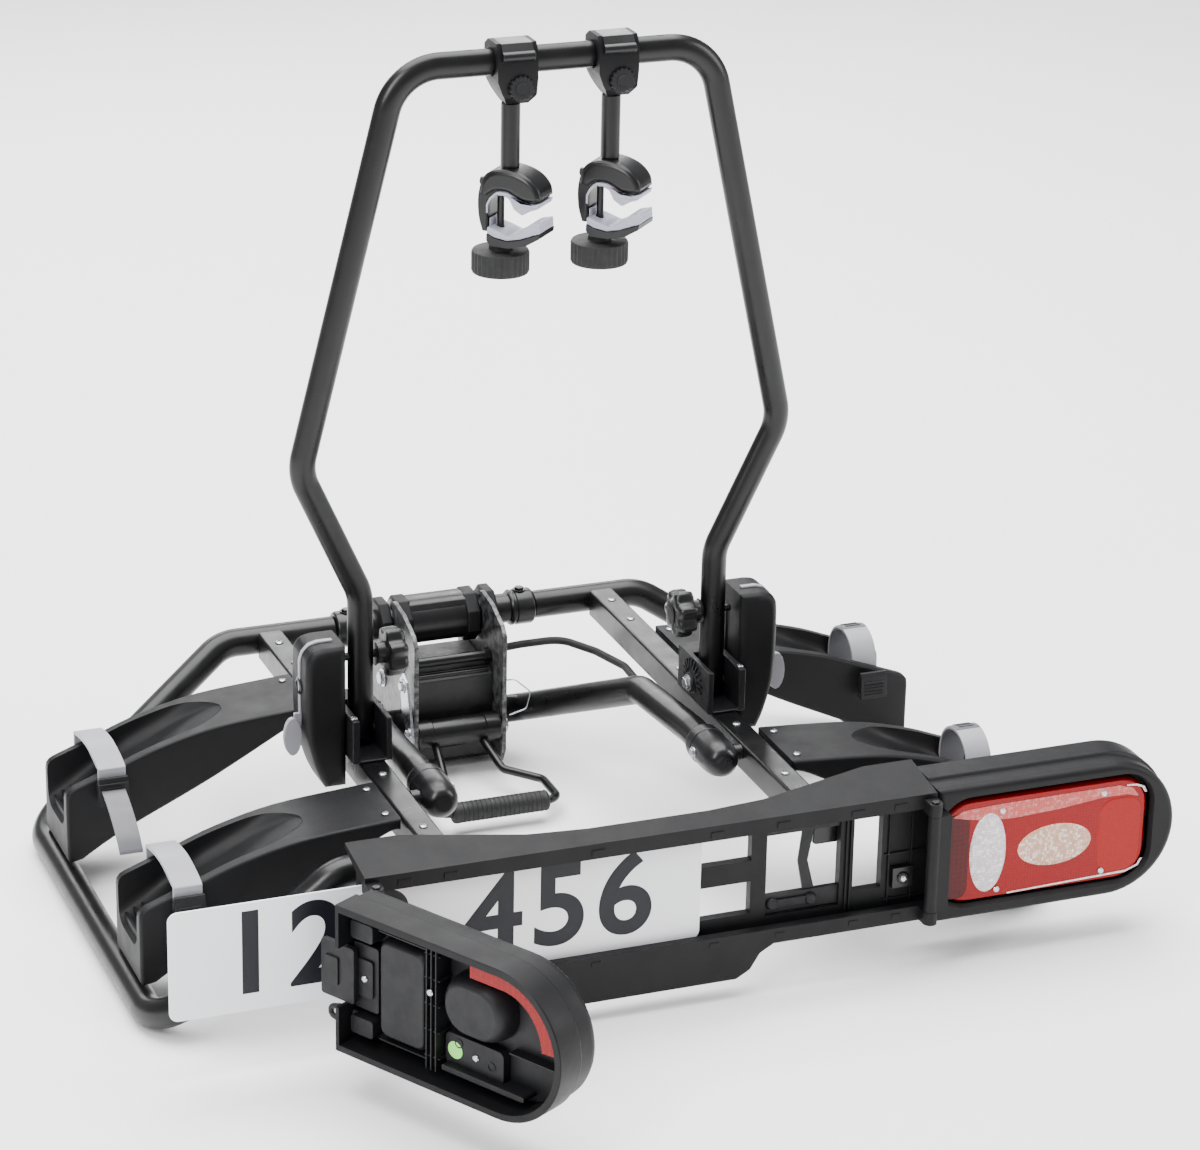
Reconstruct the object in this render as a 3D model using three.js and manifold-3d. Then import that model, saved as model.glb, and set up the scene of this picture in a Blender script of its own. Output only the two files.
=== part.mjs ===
// Tow-ball bike rack for two bikes: a tilting platform of bent tube with four wheel gutters,
// a folding hoop with two frame clamps, and a rear board with a number plate and two lamp pods.
// Millimetres, +Z up, +Y towards the car, +X to the right seen from behind the car.
// Everything is laid out from the two platform bars: their top faces are z = 0 and their visible
// rear ends are y = 0. The outer group then moves the origin to the seat of the tow ball.

import * as THREE from 'three';
import { mergeVertices } from 'three/addons/utils/BufferGeometryUtils.js';
import Module from 'manifold-3d';

const wasm = await Module();
wasm.setup();

// ---- driving dimensions -------------------------------------------------------------------

const GAP = 0.3;
const BALL = { y: 525, seatZ: -112, socketRadius: 26 };
const TUBE = { radius: 15, y: 535, z: -15 };
const BAR = { x: 187, width: 27, height: 30, rearY: -85.5, frontY: 519.6 };
const LOOP = { x: 460, z: -150, frontY: 434, rearY: -22, bend: 48 };
const GUTTER = { width: 90, innerX: 203, outerX: 461, rearY: 34, frontY: 312 };
const STRAP = { x: 415, width: 28, thickness: 4 };
const FOOT = { x: 187, y: 210, pivotZ: 20, bottomZ: 12, knobZ: 98 };
const HOOP = { bendX: 187, bendZ: 163, wideX: 249, wideZ: 298, topX: 156.4, topY: 189, topZ: 690.7 };
const HOOP_SECTION = { fore: 10, side: 13 };
const SHIELD = { innerX: 208.5, outerX: 249, rearY: 184, frontY: 240, topZ: 118, footZ: -30 };
const BOARD = { halfWidth: 288, topZ: 22, bottomZ: -112, panelZ: -144, rearY: -115.6 };
const PLATE = { width: 520, height: 110, thickness: 2, leftX: -470.6, bottomZ: -100.6, rearY: -103.2 };
const POD = { innerX: 288.6, roundX: 478, middleZ: -47, radius: 71, rearY: -118, frontY: -63 };
const LAMP_HINGE = { x: 281, y: -127 };
const LEFT_LAMP_FOLD = THREE.MathUtils.degToRad(120);
const TILT = { x: 147, y: 96, z: -9 };
const CHEEK = { innerX: 47, thickness: 5 };
const CAM = { y: 456, z: -115, radius: 16 };
const CLAMP_X = { left: -44, right: 57 };
const COLLAR = { half: 20, bottomZ: -40 };
const JAW = { turn: THREE.MathUtils.degToRad(-45), size: 0.83, halfDepth: 17.5, studS: -9.1, topZ: -102 };
const JAW_STUD = { radius: 3.4, boreRadius: 3.9, topZ: -125, endZ: -190, boreEndZ: -203 };
const KNOB = { topZ: -178.8, headZ: -185, bottomZ: -208, radius: 28, neckRadius: 11 };

// ---- materials ----------------------------------------------------------------------------

function finish(color, roughness, metalness) {
  return new THREE.MeshStandardMaterial({ color, roughness, metalness });
}

const finishes = {
  coatedSteel: finish(0x1c1c1f, 0.42, 0.2),
  blackPlastic: finish(0x2b2b2f, 0.6, 0),
  darkPlastic: finish(0x1a1a1d, 0.7, 0),
  greyPlastic: finish(0xc3c3c7, 0.5, 0),
  rubber: finish(0x161618, 0.85, 0),
  castIron: finish(0x17171a, 0.55, 0.3),
  zincSteel: finish(0x9a9c9f, 0.35, 1),
  plateWhite: finish(0xe9eaec, 0.4, 0),
  lensRed: finish(0xc8201c, 0.15, 0),
};

// ---- solids: booleans and small shape helpers ---------------------------------------------

function toManifold(geometry) {
  const bare = geometry.clone();
  bare.deleteAttribute('normal');
  bare.deleteAttribute('uv');
  const merged = mergeVertices(bare, 1e-4);
  return new wasm.Manifold(new wasm.Mesh({
    numProp: 3,
    vertProperties: new Float32Array(merged.attributes.position.array),
    triVerts: new Uint32Array(merged.index.array),
  }));
}

function toGeometry(manifold) {
  const mesh = manifold.getMesh();
  const geometry = new THREE.BufferGeometry();
  geometry.setAttribute('position', new THREE.BufferAttribute(mesh.vertProperties, 3));
  geometry.setIndex(new THREE.BufferAttribute(mesh.triVerts, 1));
  geometry.computeVertexNormals();
  return geometry;
}

function join(first, ...others) {
  const body = others.reduce((sum, other) => sum.add(toManifold(other)), toManifold(first));
  return toGeometry(body);
}

function cut(body, ...tools) {
  const rest = tools.reduce((sum, tool) => sum.subtract(toManifold(tool)), toManifold(body));
  return toGeometry(rest);
}

function overlap(first, second) {
  return toGeometry(toManifold(first).intersect(toManifold(second)));
}

function box(x0, x1, y0, y1, z0, z1) {
  const geometry = new THREE.BoxGeometry(x1 - x0, y1 - y0, z1 - z0);
  return geometry.translate((x0 + x1) / 2, (y0 + y1) / 2, (z0 + z1) / 2);
}

function outline(points) {
  return new THREE.Shape(points.map(([u, v]) => new THREE.Vector2(u, v)));
}

// A rectangle from (u0, v0) to (u1, v1) with round corners.
function roundRect(u0, v0, u1, v1, radius) {
  const shape = new THREE.Shape();
  shape.moveTo(u0 + radius, v0);
  shape.lineTo(u1 - radius, v0);
  shape.quadraticCurveTo(u1, v0, u1, v0 + radius);
  shape.lineTo(u1, v1 - radius);
  shape.quadraticCurveTo(u1, v1, u1 - radius, v1);
  shape.lineTo(u0 + radius, v1);
  shape.quadraticCurveTo(u0, v1, u0, v1 - radius);
  shape.lineTo(u0, v0 + radius);
  shape.quadraticCurveTo(u0, v0, u0 + radius, v0);
  return shape;
}

// An outline pushed along one axis. It is drawn in (y, z) for x, (x, z) for y and (x, y) for z.
function prism(shape, axis, from, to, curveSegments = 4) {
  const options = { depth: to - from, bevelEnabled: false, curveSegments };
  const geometry = new THREE.ExtrudeGeometry(shape, options);
  const turn = new THREE.Matrix4();
  const [x, y, z] = [[1, 0, 0], [0, 1, 0], [0, 0, 1]].map((v) => new THREE.Vector3(...v));
  if (axis === 'x') {
    turn.makeBasis(y, z, x).setPosition(from, 0, 0);
  } else if (axis === 'y') {
    turn.makeBasis(x, z, y.negate()).setPosition(0, to, 0);
  } else {
    turn.makeBasis(x, y, z).setPosition(0, 0, from);
  }
  return geometry.applyMatrix4(turn);
}

// A round bar between two points.
function rod(start, end, radius, sides = 16) {
  const a = new THREE.Vector3(...start);
  const b = new THREE.Vector3(...end);
  const along = b.clone().sub(a);
  const geometry = new THREE.CylinderGeometry(radius, radius, along.length(), sides);
  const turn = new THREE.Quaternion().setFromUnitVectors(
    new THREE.Vector3(0, 1, 0),
    along.clone().normalize(),
  );
  const middle = a.add(b).multiplyScalar(0.5);
  return geometry.applyQuaternion(turn).translate(middle.x, middle.y, middle.z);
}

// A turned piece: the profile gives (radius, height), and height runs along the named axis.
function turned(profile, axis, sides = 24) {
  const geometry = new THREE.LatheGeometry(profile.map(([r, h]) => new THREE.Vector2(r, h)), sides);
  if (axis === 'x') {
    geometry.rotateZ(-Math.PI / 2);
  } else if (axis === 'z') {
    geometry.rotateX(Math.PI / 2);
  }
  return geometry;
}

// The centre line of a bent tube: straight runs joined by arcs, sampled only where it bends.
class BentLine extends THREE.Curve {
  constructor(corners, bendRadius, arcSteps = 4) {
    super();
    const stops = corners.map((corner) => new THREE.Vector3(...corner));
    this.points = [stops[0]];
    this.tangents = [stops[1].clone().sub(stops[0]).normalize()];
    for (let i = 1; i < stops.length - 1; i += 1) {
      const before = stops[i].clone().sub(stops[i - 1]).normalize();
      const after = stops[i + 1].clone().sub(stops[i]).normalize();
      const turn = before.angleTo(after);
      const reach = bendRadius * Math.tan(turn / 2);
      const start = stops[i].clone().addScaledVector(before, -reach);
      const inward = after.clone().addScaledVector(before, -after.dot(before)).normalize();
      for (let step = 0; step <= arcSteps; step += 1) {
        const angle = (turn * step) / arcSteps;
        const point = start.clone()
          .addScaledVector(before, bendRadius * Math.sin(angle))
          .addScaledVector(inward, bendRadius * (1 - Math.cos(angle)));
        this.points.push(point);
        this.tangents.push(before.clone().multiplyScalar(Math.cos(angle))
          .addScaledVector(inward, Math.sin(angle)));
      }
    }
    const last = stops.length - 1;
    this.points.push(stops[last]);
    this.tangents.push(stops[last].clone().sub(stops[last - 1]).normalize());
  }

  get steps() {
    return this.points.length - 1;
  }

  getPoint(t) {
    return this.points[Math.round(t * this.steps)].clone();
  }

  getPointAt(u) {
    return this.getPoint(u);
  }

  getTangentAt(u) {
    return this.tangents[Math.round(u * this.steps)].clone();
  }
}

function roundSection(radiusU, radiusV = radiusU, sides = 12) {
  const points = [];
  for (let i = 0; i < sides; i += 1) {
    const angle = (2 * Math.PI * i) / sides;
    points.push([radiusU * Math.cos(angle), radiusV * Math.sin(angle)]);
  }
  return outline(points);
}

function bentTube(corners, bendRadius, section, arcSteps = 4) {
  const line = new BentLine(corners, bendRadius, arcSteps);
  return new THREE.ExtrudeGeometry(section, { steps: line.steps, extrudePath: line });
}

// The mirror image in x = 0, with the faces turned back to point outwards.
function mirrored(geometry) {
  const copy = geometry.index ? geometry.toNonIndexed() : geometry.clone();
  copy.scale(-1, 1, 1);
  const position = copy.attributes.position;
  for (let i = 0; i < position.count; i += 3) {
    const second = new THREE.Vector3().fromBufferAttribute(position, i + 1);
    const third = new THREE.Vector3().fromBufferAttribute(position, i + 2);
    position.setXYZ(i + 1, third.x, third.y, third.z);
    position.setXYZ(i + 2, second.x, second.y, second.z);
  }
  copy.computeVertexNormals();
  return copy;
}

// ---- the scene graph ----------------------------------------------------------------------

const rack = new THREE.Group();
rack.position.set(0, -BALL.y, -BALL.seatZ);

function place(name, geometry, material, parent = rack) {
  const mesh = new THREE.Mesh(geometry, material);
  mesh.name = name;
  parent.add(mesh);
  return mesh;
}

// One piece and its mirror image, named with _right and _left.
function placePair(name, geometry, material, parentRight = rack, parentLeft = rack) {
  place(`${name}_right`, geometry, material, parentRight);
  place(`${name}_left`, mirrored(geometry), material, parentLeft);
}

// ---- coupling: the part that stays on the tow ball ----------------------------------------

function addCoupling() {
  const { innerX, thickness } = CHEEK;
  const outerX = innerX + thickness;
  const sideX = innerX - GAP;
  const frontY = 580;
  const bottomZ = -160;
  const topZ = -55;

  const socket = rod([0, BALL.y, bottomZ - 10], [0, BALL.y, BALL.seatZ], BALL.socketRadius, 28);
  const jawPocket = box(-15, 15, 450, BALL.y, -141, -119);
  const block = prism(outline([
    [474, bottomZ + 6], [480, bottomZ], [frontY - 14, bottomZ], [frontY, bottomZ + 20],
    [frontY, topZ - 22], [frontY - 24, topZ], [482, topZ], [474, topZ - 8],
  ]), 'x', -sideX, sideX);
  place('ball_housing', cut(block, socket, jawPocket), finishes.castIron);
  place('ball_jaw', box(-14.6, 14.6, 475, 500.5, -140.6, -119.4), finishes.zincSteel);

  const notch = join(
    rod([0, TUBE.y, TUBE.z], [100, TUBE.y, TUBE.z], 17, 20),
    box(0, 100, TUBE.y - 17, TUBE.y + 17, TUBE.z, 60),
  );
  const cheek = prism(outline([
    [443, -8], [452, 2], [484, 14], [512, 17], [540, 17], [556, -8], [572, -12], [587, -28], [589, -60],
    [584, -120], [570, -150], [552, -162], [470, -163], [452, -156], [443, -140],
  ]), 'x', innerX, outerX);
  placePair('coupling_cheek', cut(cheek, notch), finishes.coatedSteel);

  place('latch_bar', rod([-sideX, 484, -44], [sideX, 484, -44], 5.5, 12), finishes.coatedSteel);

  const arm = bentTube([
    [outerX + GAP, 487, -112], [78, 487, -112], [144, 292, -19], [TILT.x, 160, TILT.z],
    [TILT.x, TILT.y - 3, TILT.z],
  ], 34, roundSection(TUBE.radius), 4);
  placePair('tilt_arm', arm, finishes.coatedSteel);

  const capOuter = turned([
    [0, -24], [11, -22], [17, -15], [19.5, -4], [19.5, 34], [17.5, 37],
    [TUBE.radius + GAP + 0.2, 37], [TUBE.radius + GAP + 0.2, -3.5], [0, -3.5],
  ], 'y', 20).translate(TILT.x, TILT.y, TILT.z);
  const pin = rod([TILT.x + 17, TILT.y, TILT.z], [BAR.x - BAR.width / 2 - GAP, TILT.y, TILT.z], 8, 14);
  placePair('tilt_cap', join(capOuter, pin), finishes.blackPlastic);
}

// ---- the lever that opens and closes the coupling ----------------------------------------

function addLever() {
  const side = CHEEK.innerX - GAP;
  const gripZ = -143;
  const gripY = 318;
  const gripX = 66;
  const cam = rod([-side, CAM.y, CAM.z], [side, CAM.y, CAM.z], CAM.radius, 20);
  const wire = bentTube([
    [26, 450, -124], [33, 401, -141], [gripX, 368, gripZ], [gripX, gripY, gripZ],
    [-gripX, gripY, gripZ], [-gripX, 368, gripZ], [-33, 401, -141], [-26, 450, -124],
  ], 11, roundSection(4.5, 4.5, 8), 3);
  place('lever_loop', join(cam, wire), finishes.coatedSteel);
  const grip = turned([
    [4.9, -53], [9, -53], [11, -50], [11, 50], [9, 53], [4.9, 53], [4.9, -53],
  ], 'x', 18).translate(0, gripY, gripZ);
  place('lever_grip', grip, finishes.rubber);
}

// ---- platform: tubes, bars and gutters ----------------------------------------------------

function addPlatformFrame() {
  const { radius, y, z } = TUBE;
  const sleeve = 112;
  const beam = turned([
    [0, -sleeve], [18, -sleeve], [19.5, -sleeve + 3], [19.5, -86], [16, -84], [16, -46.4], [26, -46.4],
    [26, 46.4], [16, 46.4], [16, 84], [19.5, 86], [19.5, sleeve - 3], [18, sleeve], [0, sleeve],
  ], 'x', 24).translate(0, y, z);
  place('cross_beam', beam, finishes.blackPlastic);

  const barOuterX = BAR.x + BAR.width / 2 + GAP;
  const loop = bentTube([
    [sleeve + GAP, y, z], [236, y, z], [LOOP.x, LOOP.frontY, LOOP.z], [LOOP.x, LOOP.rearY, LOOP.z],
    [285, LOOP.rearY, z], [barOuterX, LOOP.rearY, z],
  ], LOOP.bend, roundSection(radius), 4);
  placePair('side_loop', loop, finishes.coatedSteel);

  const half = BAR.width / 2;
  const bar = prism(roundRect(BAR.x - half, -BAR.height, BAR.x + half, 0, 3), 'y', BAR.rearY, BAR.frontY, 2);
  placePair('platform_bar', bar, finishes.coatedSteel);

  const cable = bentTube([
    [62, 521, -56], [96, 519, -53], [138, 512, -50], [160, 462, -47],
    [BAR.x - half - GAP - 2, 405, -43], [BAR.x - half - GAP - 4.6, 366, -42],
  ], 18, roundSection(4.2, 4.2, 8), 3);
  place('lamp_cable', cable, finishes.rubber);
}

// One wheel gutter of the right-hand side, between rearY and rearY + width.
function gutter(rearY) {
  const { innerX, outerX, width } = GUTTER;
  const wall = 6;
  const side = outline([
    [innerX, 2], [222, 1], [303, -6], [363, -20], [408, -36.5], [432, -46], [outerX, -57],
    [outerX, -134.5], [446, -132], [402, -106], [223, -15], [innerX, -10],
  ]);
  const channel = outline([
    [288, 40], [288, -3], [310, -17], [350, -36], [400, -62], [430, -82], [outerX + 9, -104],
    [outerX + 9, 40],
  ]);
  const body = prism(side, 'y', rearY, rearY + width);
  const hollow = prism(channel, 'y', rearY + wall, rearY + width - wall);
  return cut(body, hollow);
}

// A wheel strap pulled flat: a band over the channel from wall to wall, with its ends hanging outside.
function flatStrap(rearY) {
  const { x, width, thickness } = STRAP;
  const baseZ = -35.8;
  const middle = rearY + GUTTER.width / 2;
  const outer = GUTTER.width / 2 + 5;
  const inner = outer - thickness;
  const crown = baseZ + 11;
  const under = crown - thickness;
  const band = new THREE.Shape();
  band.moveTo(middle - outer, baseZ - 22);
  band.lineTo(middle - outer, baseZ + 2);
  band.bezierCurveTo(middle - outer, baseZ + 5, middle - 20, crown, middle, crown);
  band.bezierCurveTo(middle + 20, crown, middle + outer, baseZ + 5, middle + outer, baseZ + 2);
  band.lineTo(middle + outer, baseZ - 22);
  band.lineTo(middle + inner, baseZ - 22);
  band.lineTo(middle + inner, baseZ + 2);
  band.bezierCurveTo(middle + inner, under - 4, middle + 18, under, middle, under);
  band.bezierCurveTo(middle - 18, under, middle - inner, under - 4, middle - inner, baseZ + 2);
  band.lineTo(middle - inner, baseZ - 22);
  return prism(band, 'x', x - width / 2, x + width / 2, 5);
}

// A wheel strap left open: a loop standing up from the channel's floor.
function standingStrap(rearY) {
  const { x, width, thickness } = STRAP;
  const middle = rearY + GUTTER.width / 2;
  const outer = 33;
  const inner = outer - thickness;
  const crown = -10;
  const shoulder = -46;
  const bulge = 0.56 * (crown - shoulder);
  const band = new THREE.Shape();
  band.moveTo(middle - outer, -96);
  band.lineTo(middle - outer, shoulder);
  band.bezierCurveTo(middle - outer, shoulder + bulge, middle - 18, crown, middle, crown);
  band.bezierCurveTo(middle + 18, crown, middle + outer, shoulder + bulge, middle + outer, shoulder);
  band.lineTo(middle + outer, -96);
  band.lineTo(middle + inner, -96);
  band.lineTo(middle + inner, shoulder);
  const top = crown - thickness;
  band.bezierCurveTo(middle + inner, shoulder + bulge, middle + 16, top, middle, top);
  band.bezierCurveTo(middle - 16, top, middle - inner, shoulder + bulge, middle - inner, shoulder);
  band.lineTo(middle - inner, -96);
  const belowFloor = prism(outline([
    [350, -36 + GAP], [400, -62 + GAP], [430, -82 + GAP], [470, -104 + GAP], [470, -200], [350, -200],
  ]), 'y', rearY, rearY + GUTTER.width);
  return cut(prism(band, 'x', x - width / 2, x + width / 2, 5), belowFloor);
}

// The ratchet buckle on the rear wall of a gutter: a base block with a lever.
function buckle(rearY) {
  const { x, width } = STRAP;
  const y = rearY - 5 - GAP;
  const half = width / 2 + 2;
  return prism(outline([
    [y - 9, -70], [y, -70], [y, -36], [y - 2, -30], [y - 6, -30], [y - 11, -40],
  ]), 'x', x - half, x + half);
}

function addGutters() {
  const rows = { rear: GUTTER.rearY, front: GUTTER.frontY };
  for (const [row, rearY] of Object.entries(rows)) {
    placePair(`${row}_gutter`, gutter(rearY), finishes.blackPlastic);
    place(`${row}_strap_right`, standingStrap(rearY), finishes.greyPlastic);
    place(`${row}_strap_left`, mirrored(flatStrap(rearY)), finishes.greyPlastic);
    placePair(`${row}_buckle`, buckle(rearY), finishes.greyPlastic);
  }
}

// ---- the hoop's feet: forked blocks, tall shields and their pull straps --------------------

function addFeet() {
  const { x, y, pivotZ } = FOOT;
  const slotHalf = HOOP_SECTION.side + 0.5;
  const wallX = x + slotHalf;
  const fork = cut(
    join(
      box(x - slotHalf - 6, SHIELD.innerX - GAP, 168, 250, GAP, 46),
      rod([x - slotHalf - 11, y, pivotZ], [x - slotHalf, y, pivotZ], 11, 12),
    ),
    box(x - slotHalf, wallX, 150, y + 14, 3, 80),
  );
  const pin = rod([x - slotHalf - 2, y, pivotZ], [wallX + 2, y, pivotZ], 5, 12);
  placePair('hinge_fork', join(fork, pin), finishes.darkPlastic);

  const { innerX, outerX, rearY, frontY, topZ, footZ } = SHIELD;
  const face = outline([
    [innerX, footZ], [230, footZ], [238, -12], [246, 18], [outerX, 50], [outerX, 100],
    [246, 110], [240, 116], [232, topZ], [innerX, topZ],
  ]);
  const seamY = 206;
  const seamWidth = 6;
  const groove = cut(
    box(innerX + 4, outerX + 10, seamY, seamY + seamWidth, -2, topZ + 10),
    prism(outline([
      [innerX, footZ], [228.6, footZ], [236.6, -12], [244.4, 18], [247.4, 50], [247.4, 99],
      [244.6, 108.4], [239.4, 114.4], [231.6, topZ - 1.6], [innerX, topZ - 1.6],
    ]), 'y', seamY - 1, seamY + seamWidth + 1),
  );
  placePair('shield', cut(prism(face, 'y', rearY, frontY), groove), finishes.blackPlastic);

  const ribbon = prism(outline([
    [innerX + 8, topZ - 1.3], [231.7, topZ - 1.3], [239.6, 114.6], [244.9, 108.6], [247.7, 99], [247.7, 40],
    [250.5, 40], [250.5, 101], [247.5, 110.5], [241, 117.2], [232, topZ + 1.6], [innerX + 8, topZ + 1.6],
  ]), 'y', seamY + GAP, seamY + seamWidth - GAP);
  const tab = new THREE.Shape();
  tab.absellipse(258, 22, 9, 20, 0, 2 * Math.PI, false, 0);
  const tongue = prism(tab, 'y', seamY - 2, seamY + 4, 8);
  const neck = box(248.6, 256, seamY + GAP, seamY + 4, 32, 46);
  placePair('pull_strap', join(ribbon, neck, tongue), finishes.greyPlastic);
}

// ---- hoop and its two star knobs -----------------------------------------------------------

function addHoop() {
  const { bendX, bendZ, wideX, wideZ, topX, topY, topZ } = HOOP;
  const leg = [
    [bendX, FOOT.y, FOOT.bottomZ], [bendX, FOOT.y, bendZ], [wideX, 204, wideZ], [topX, topY, topZ],
  ];
  const otherLeg = leg.map(([x, y, z]) => [-x, y, z]).reverse();
  const hoop = bentTube([...leg, ...otherLeg], 52, roundSection(HOOP_SECTION.fore, HOOP_SECTION.side, 14), 5);
  const bores = [];
  for (const side of [-1, 1]) {
    const near = side * (FOOT.x - 20);
    const far = side * (FOOT.x + 20);
    bores.push(rod([near, FOOT.y, FOOT.pivotZ], [far, FOOT.y, FOOT.pivotZ], 5.4, 12));
    bores.push(rod([near, FOOT.y, FOOT.knobZ], [far, FOOT.y, FOOT.knobZ], 4.5, 12));
  }
  place('hoop', cut(hoop, ...bores), finishes.coatedSteel);

  const star = new THREE.Shape();
  const lobes = 7;
  const steps = lobes * 6;
  for (let i = 0; i < steps; i += 1) {
    const angle = (2 * Math.PI * i) / steps;
    const radius = 22.5 + 2.5 * Math.cos(lobes * angle);
    const point = [FOOT.y + radius * Math.cos(angle), FOOT.knobZ + radius * Math.sin(angle)];
    if (i === 0) {
      star.moveTo(...point);
    } else {
      star.lineTo(...point);
    }
  }
  const head = prism(star, 'x', 144, 163);
  const stud = rod([150, FOOT.y, FOOT.knobZ], [SHIELD.innerX - 3, FOOT.y, FOOT.knobZ], 4, 12);
  const neck = rod([160, FOOT.y, FOOT.knobZ], [FOOT.x - 14, FOOT.y, FOOT.knobZ], 11, 16);
  placePair('star_knob', join(head, neck, stud), finishes.blackPlastic);
}

// ---- frame clamps hanging from the hoop's top bar ------------------------------------------

// A jaw outline in (s, z), drawn full size and brought to JAW.size below the end of the rod.
function jawOutline(points) {
  const { size, topZ } = JAW;
  return outline(points.map(([s, z]) => [s * size, topZ + (z - topZ) * size]));
}

// All the pieces of one clamp, in a group whose origin is the axis of the hoop's top bar.
function addClamp(side) {
  const group = new THREE.Group();
  group.position.set(CLAMP_X[side], HOOP.topY, HOOP.topZ);
  rack.add(group);
  const swivel = new THREE.Group();
  swivel.rotation.z = JAW.turn;
  group.add(swivel);

  const { half, bottomZ } = COLLAR;
  const saddle = prism(outline([
    [-20, -14], [-19, 11], [-13, 20], [10, 20], [19, 14], [20, -2], [20, -22], [15, -34],
    [8, bottomZ], [-8, bottomZ], [-16, -32],
  ]), 'x', -half, half);
  const taper = prism(outline([
    [-half, 24], [-half, -15], [-15, -27], [-7, bottomZ - 1], [14, bottomZ - 1], [half, -30], [half, 24],
  ]), 'y', -30, 30);
  const barHole = rod([-30, 0, 0], [30, 0, 0], HOOP_SECTION.side + 0.5, 24);
  place(`clamp_collar_${side}`, cut(overlap(saddle, taper), barHole), finishes.blackPlastic, group);
  const rodShape = rod([0, 0, JAW.topZ], [0, 0, bottomZ - GAP], 9.2, 16);
  place(`clamp_rod_${side}`, rodShape, finishes.coatedSteel, group);

  const { halfDepth, studS } = JAW;
  const upperShell = prism(jawOutline([
    [-26, -178], [-31, -160], [-32, -136], [-25, -114], [-12, -104], [-9, -102.4], [9, -102.4],
    [30, -109], [43, -122], [46.5, -136], [40, -138], [24, -137.5], [6, -128], [-6, -128],
    [-16, -136], [-20, -148], [-20, -178],
  ]), 'y', -halfDepth, halfDepth);
  const stud = rod([studS, 0, JAW_STUD.topZ], [studS, 0, JAW_STUD.endZ], JAW_STUD.radius, 10);
  const studBore = rod([studS, 0, JAW_STUD.topZ + 5], [studS, 0, JAW_STUD.boreEndZ], JAW_STUD.boreRadius, 12);
  const backBolt = rod([-23, 0, -124], [-36, 0, -124], 4.2, 6);
  place(`clamp_upper_jaw_${side}`, join(upperShell, stud, backBolt), finishes.blackPlastic, swivel);

  const upperLiner = prism(jawOutline([
    [46, -136.6], [44, -143], [34, -147], [24, -153], [14, -147], [8, -136], [0, -132.6],
    [-6.5, -133.4], [-6.5, -128.4], [5.8, -128.4], [24, -137.9], [40, -138.4],
  ]), 'y', -halfDepth + 1, halfDepth - 1);
  place(`clamp_upper_liner_${side}`, cut(upperLiner, studBore), finishes.greyPlastic, swivel);

  const lowerShell = prism(jawOutline([
    [-19.4, -180], [-10, -184], [6, -186], [22, -182], [47, -172], [46, -178], [30, -188],
    [8, -194], [-14, -194], [-19.4, -188],
  ]), 'y', -halfDepth, halfDepth);
  place(`clamp_lower_jaw_${side}`, cut(lowerShell, studBore), finishes.blackPlastic, swivel);
  const lowerLiner = prism(jawOutline([
    [-19.4, -179.6], [-19.4, -172], [-4, -176], [8, -180], [22, -174], [32, -164], [46, -160],
    [47, -171.6], [22, -181.6], [6, -185.6], [-10, -183.6],
  ]), 'y', -halfDepth + 1, halfDepth - 1);
  place(`clamp_lower_liner_${side}`, cut(lowerLiner, studBore), finishes.greyPlastic, swivel);

  const { radius, neckRadius, topZ, headZ, bottomZ: knobEndZ } = KNOB;
  const bore = JAW_STUD.boreRadius + 0.1;
  const knob = turned([
    [bore, topZ], [bore, JAW_STUD.boreEndZ], [0, JAW_STUD.boreEndZ], [0, knobEndZ], [radius - 2.5, knobEndZ],
    [radius, knobEndZ + 3], [radius, headZ - 2.5], [radius - 2.5, headZ], [neckRadius + 1, headZ],
    [neckRadius, topZ], [bore, topZ],
  ], 'z', 28).translate(studS, 0, 0);
  place(`clamp_knob_${side}`, knob, finishes.rubber, swivel);
}

// ---- rear board and number plate ------------------------------------------------------------

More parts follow.
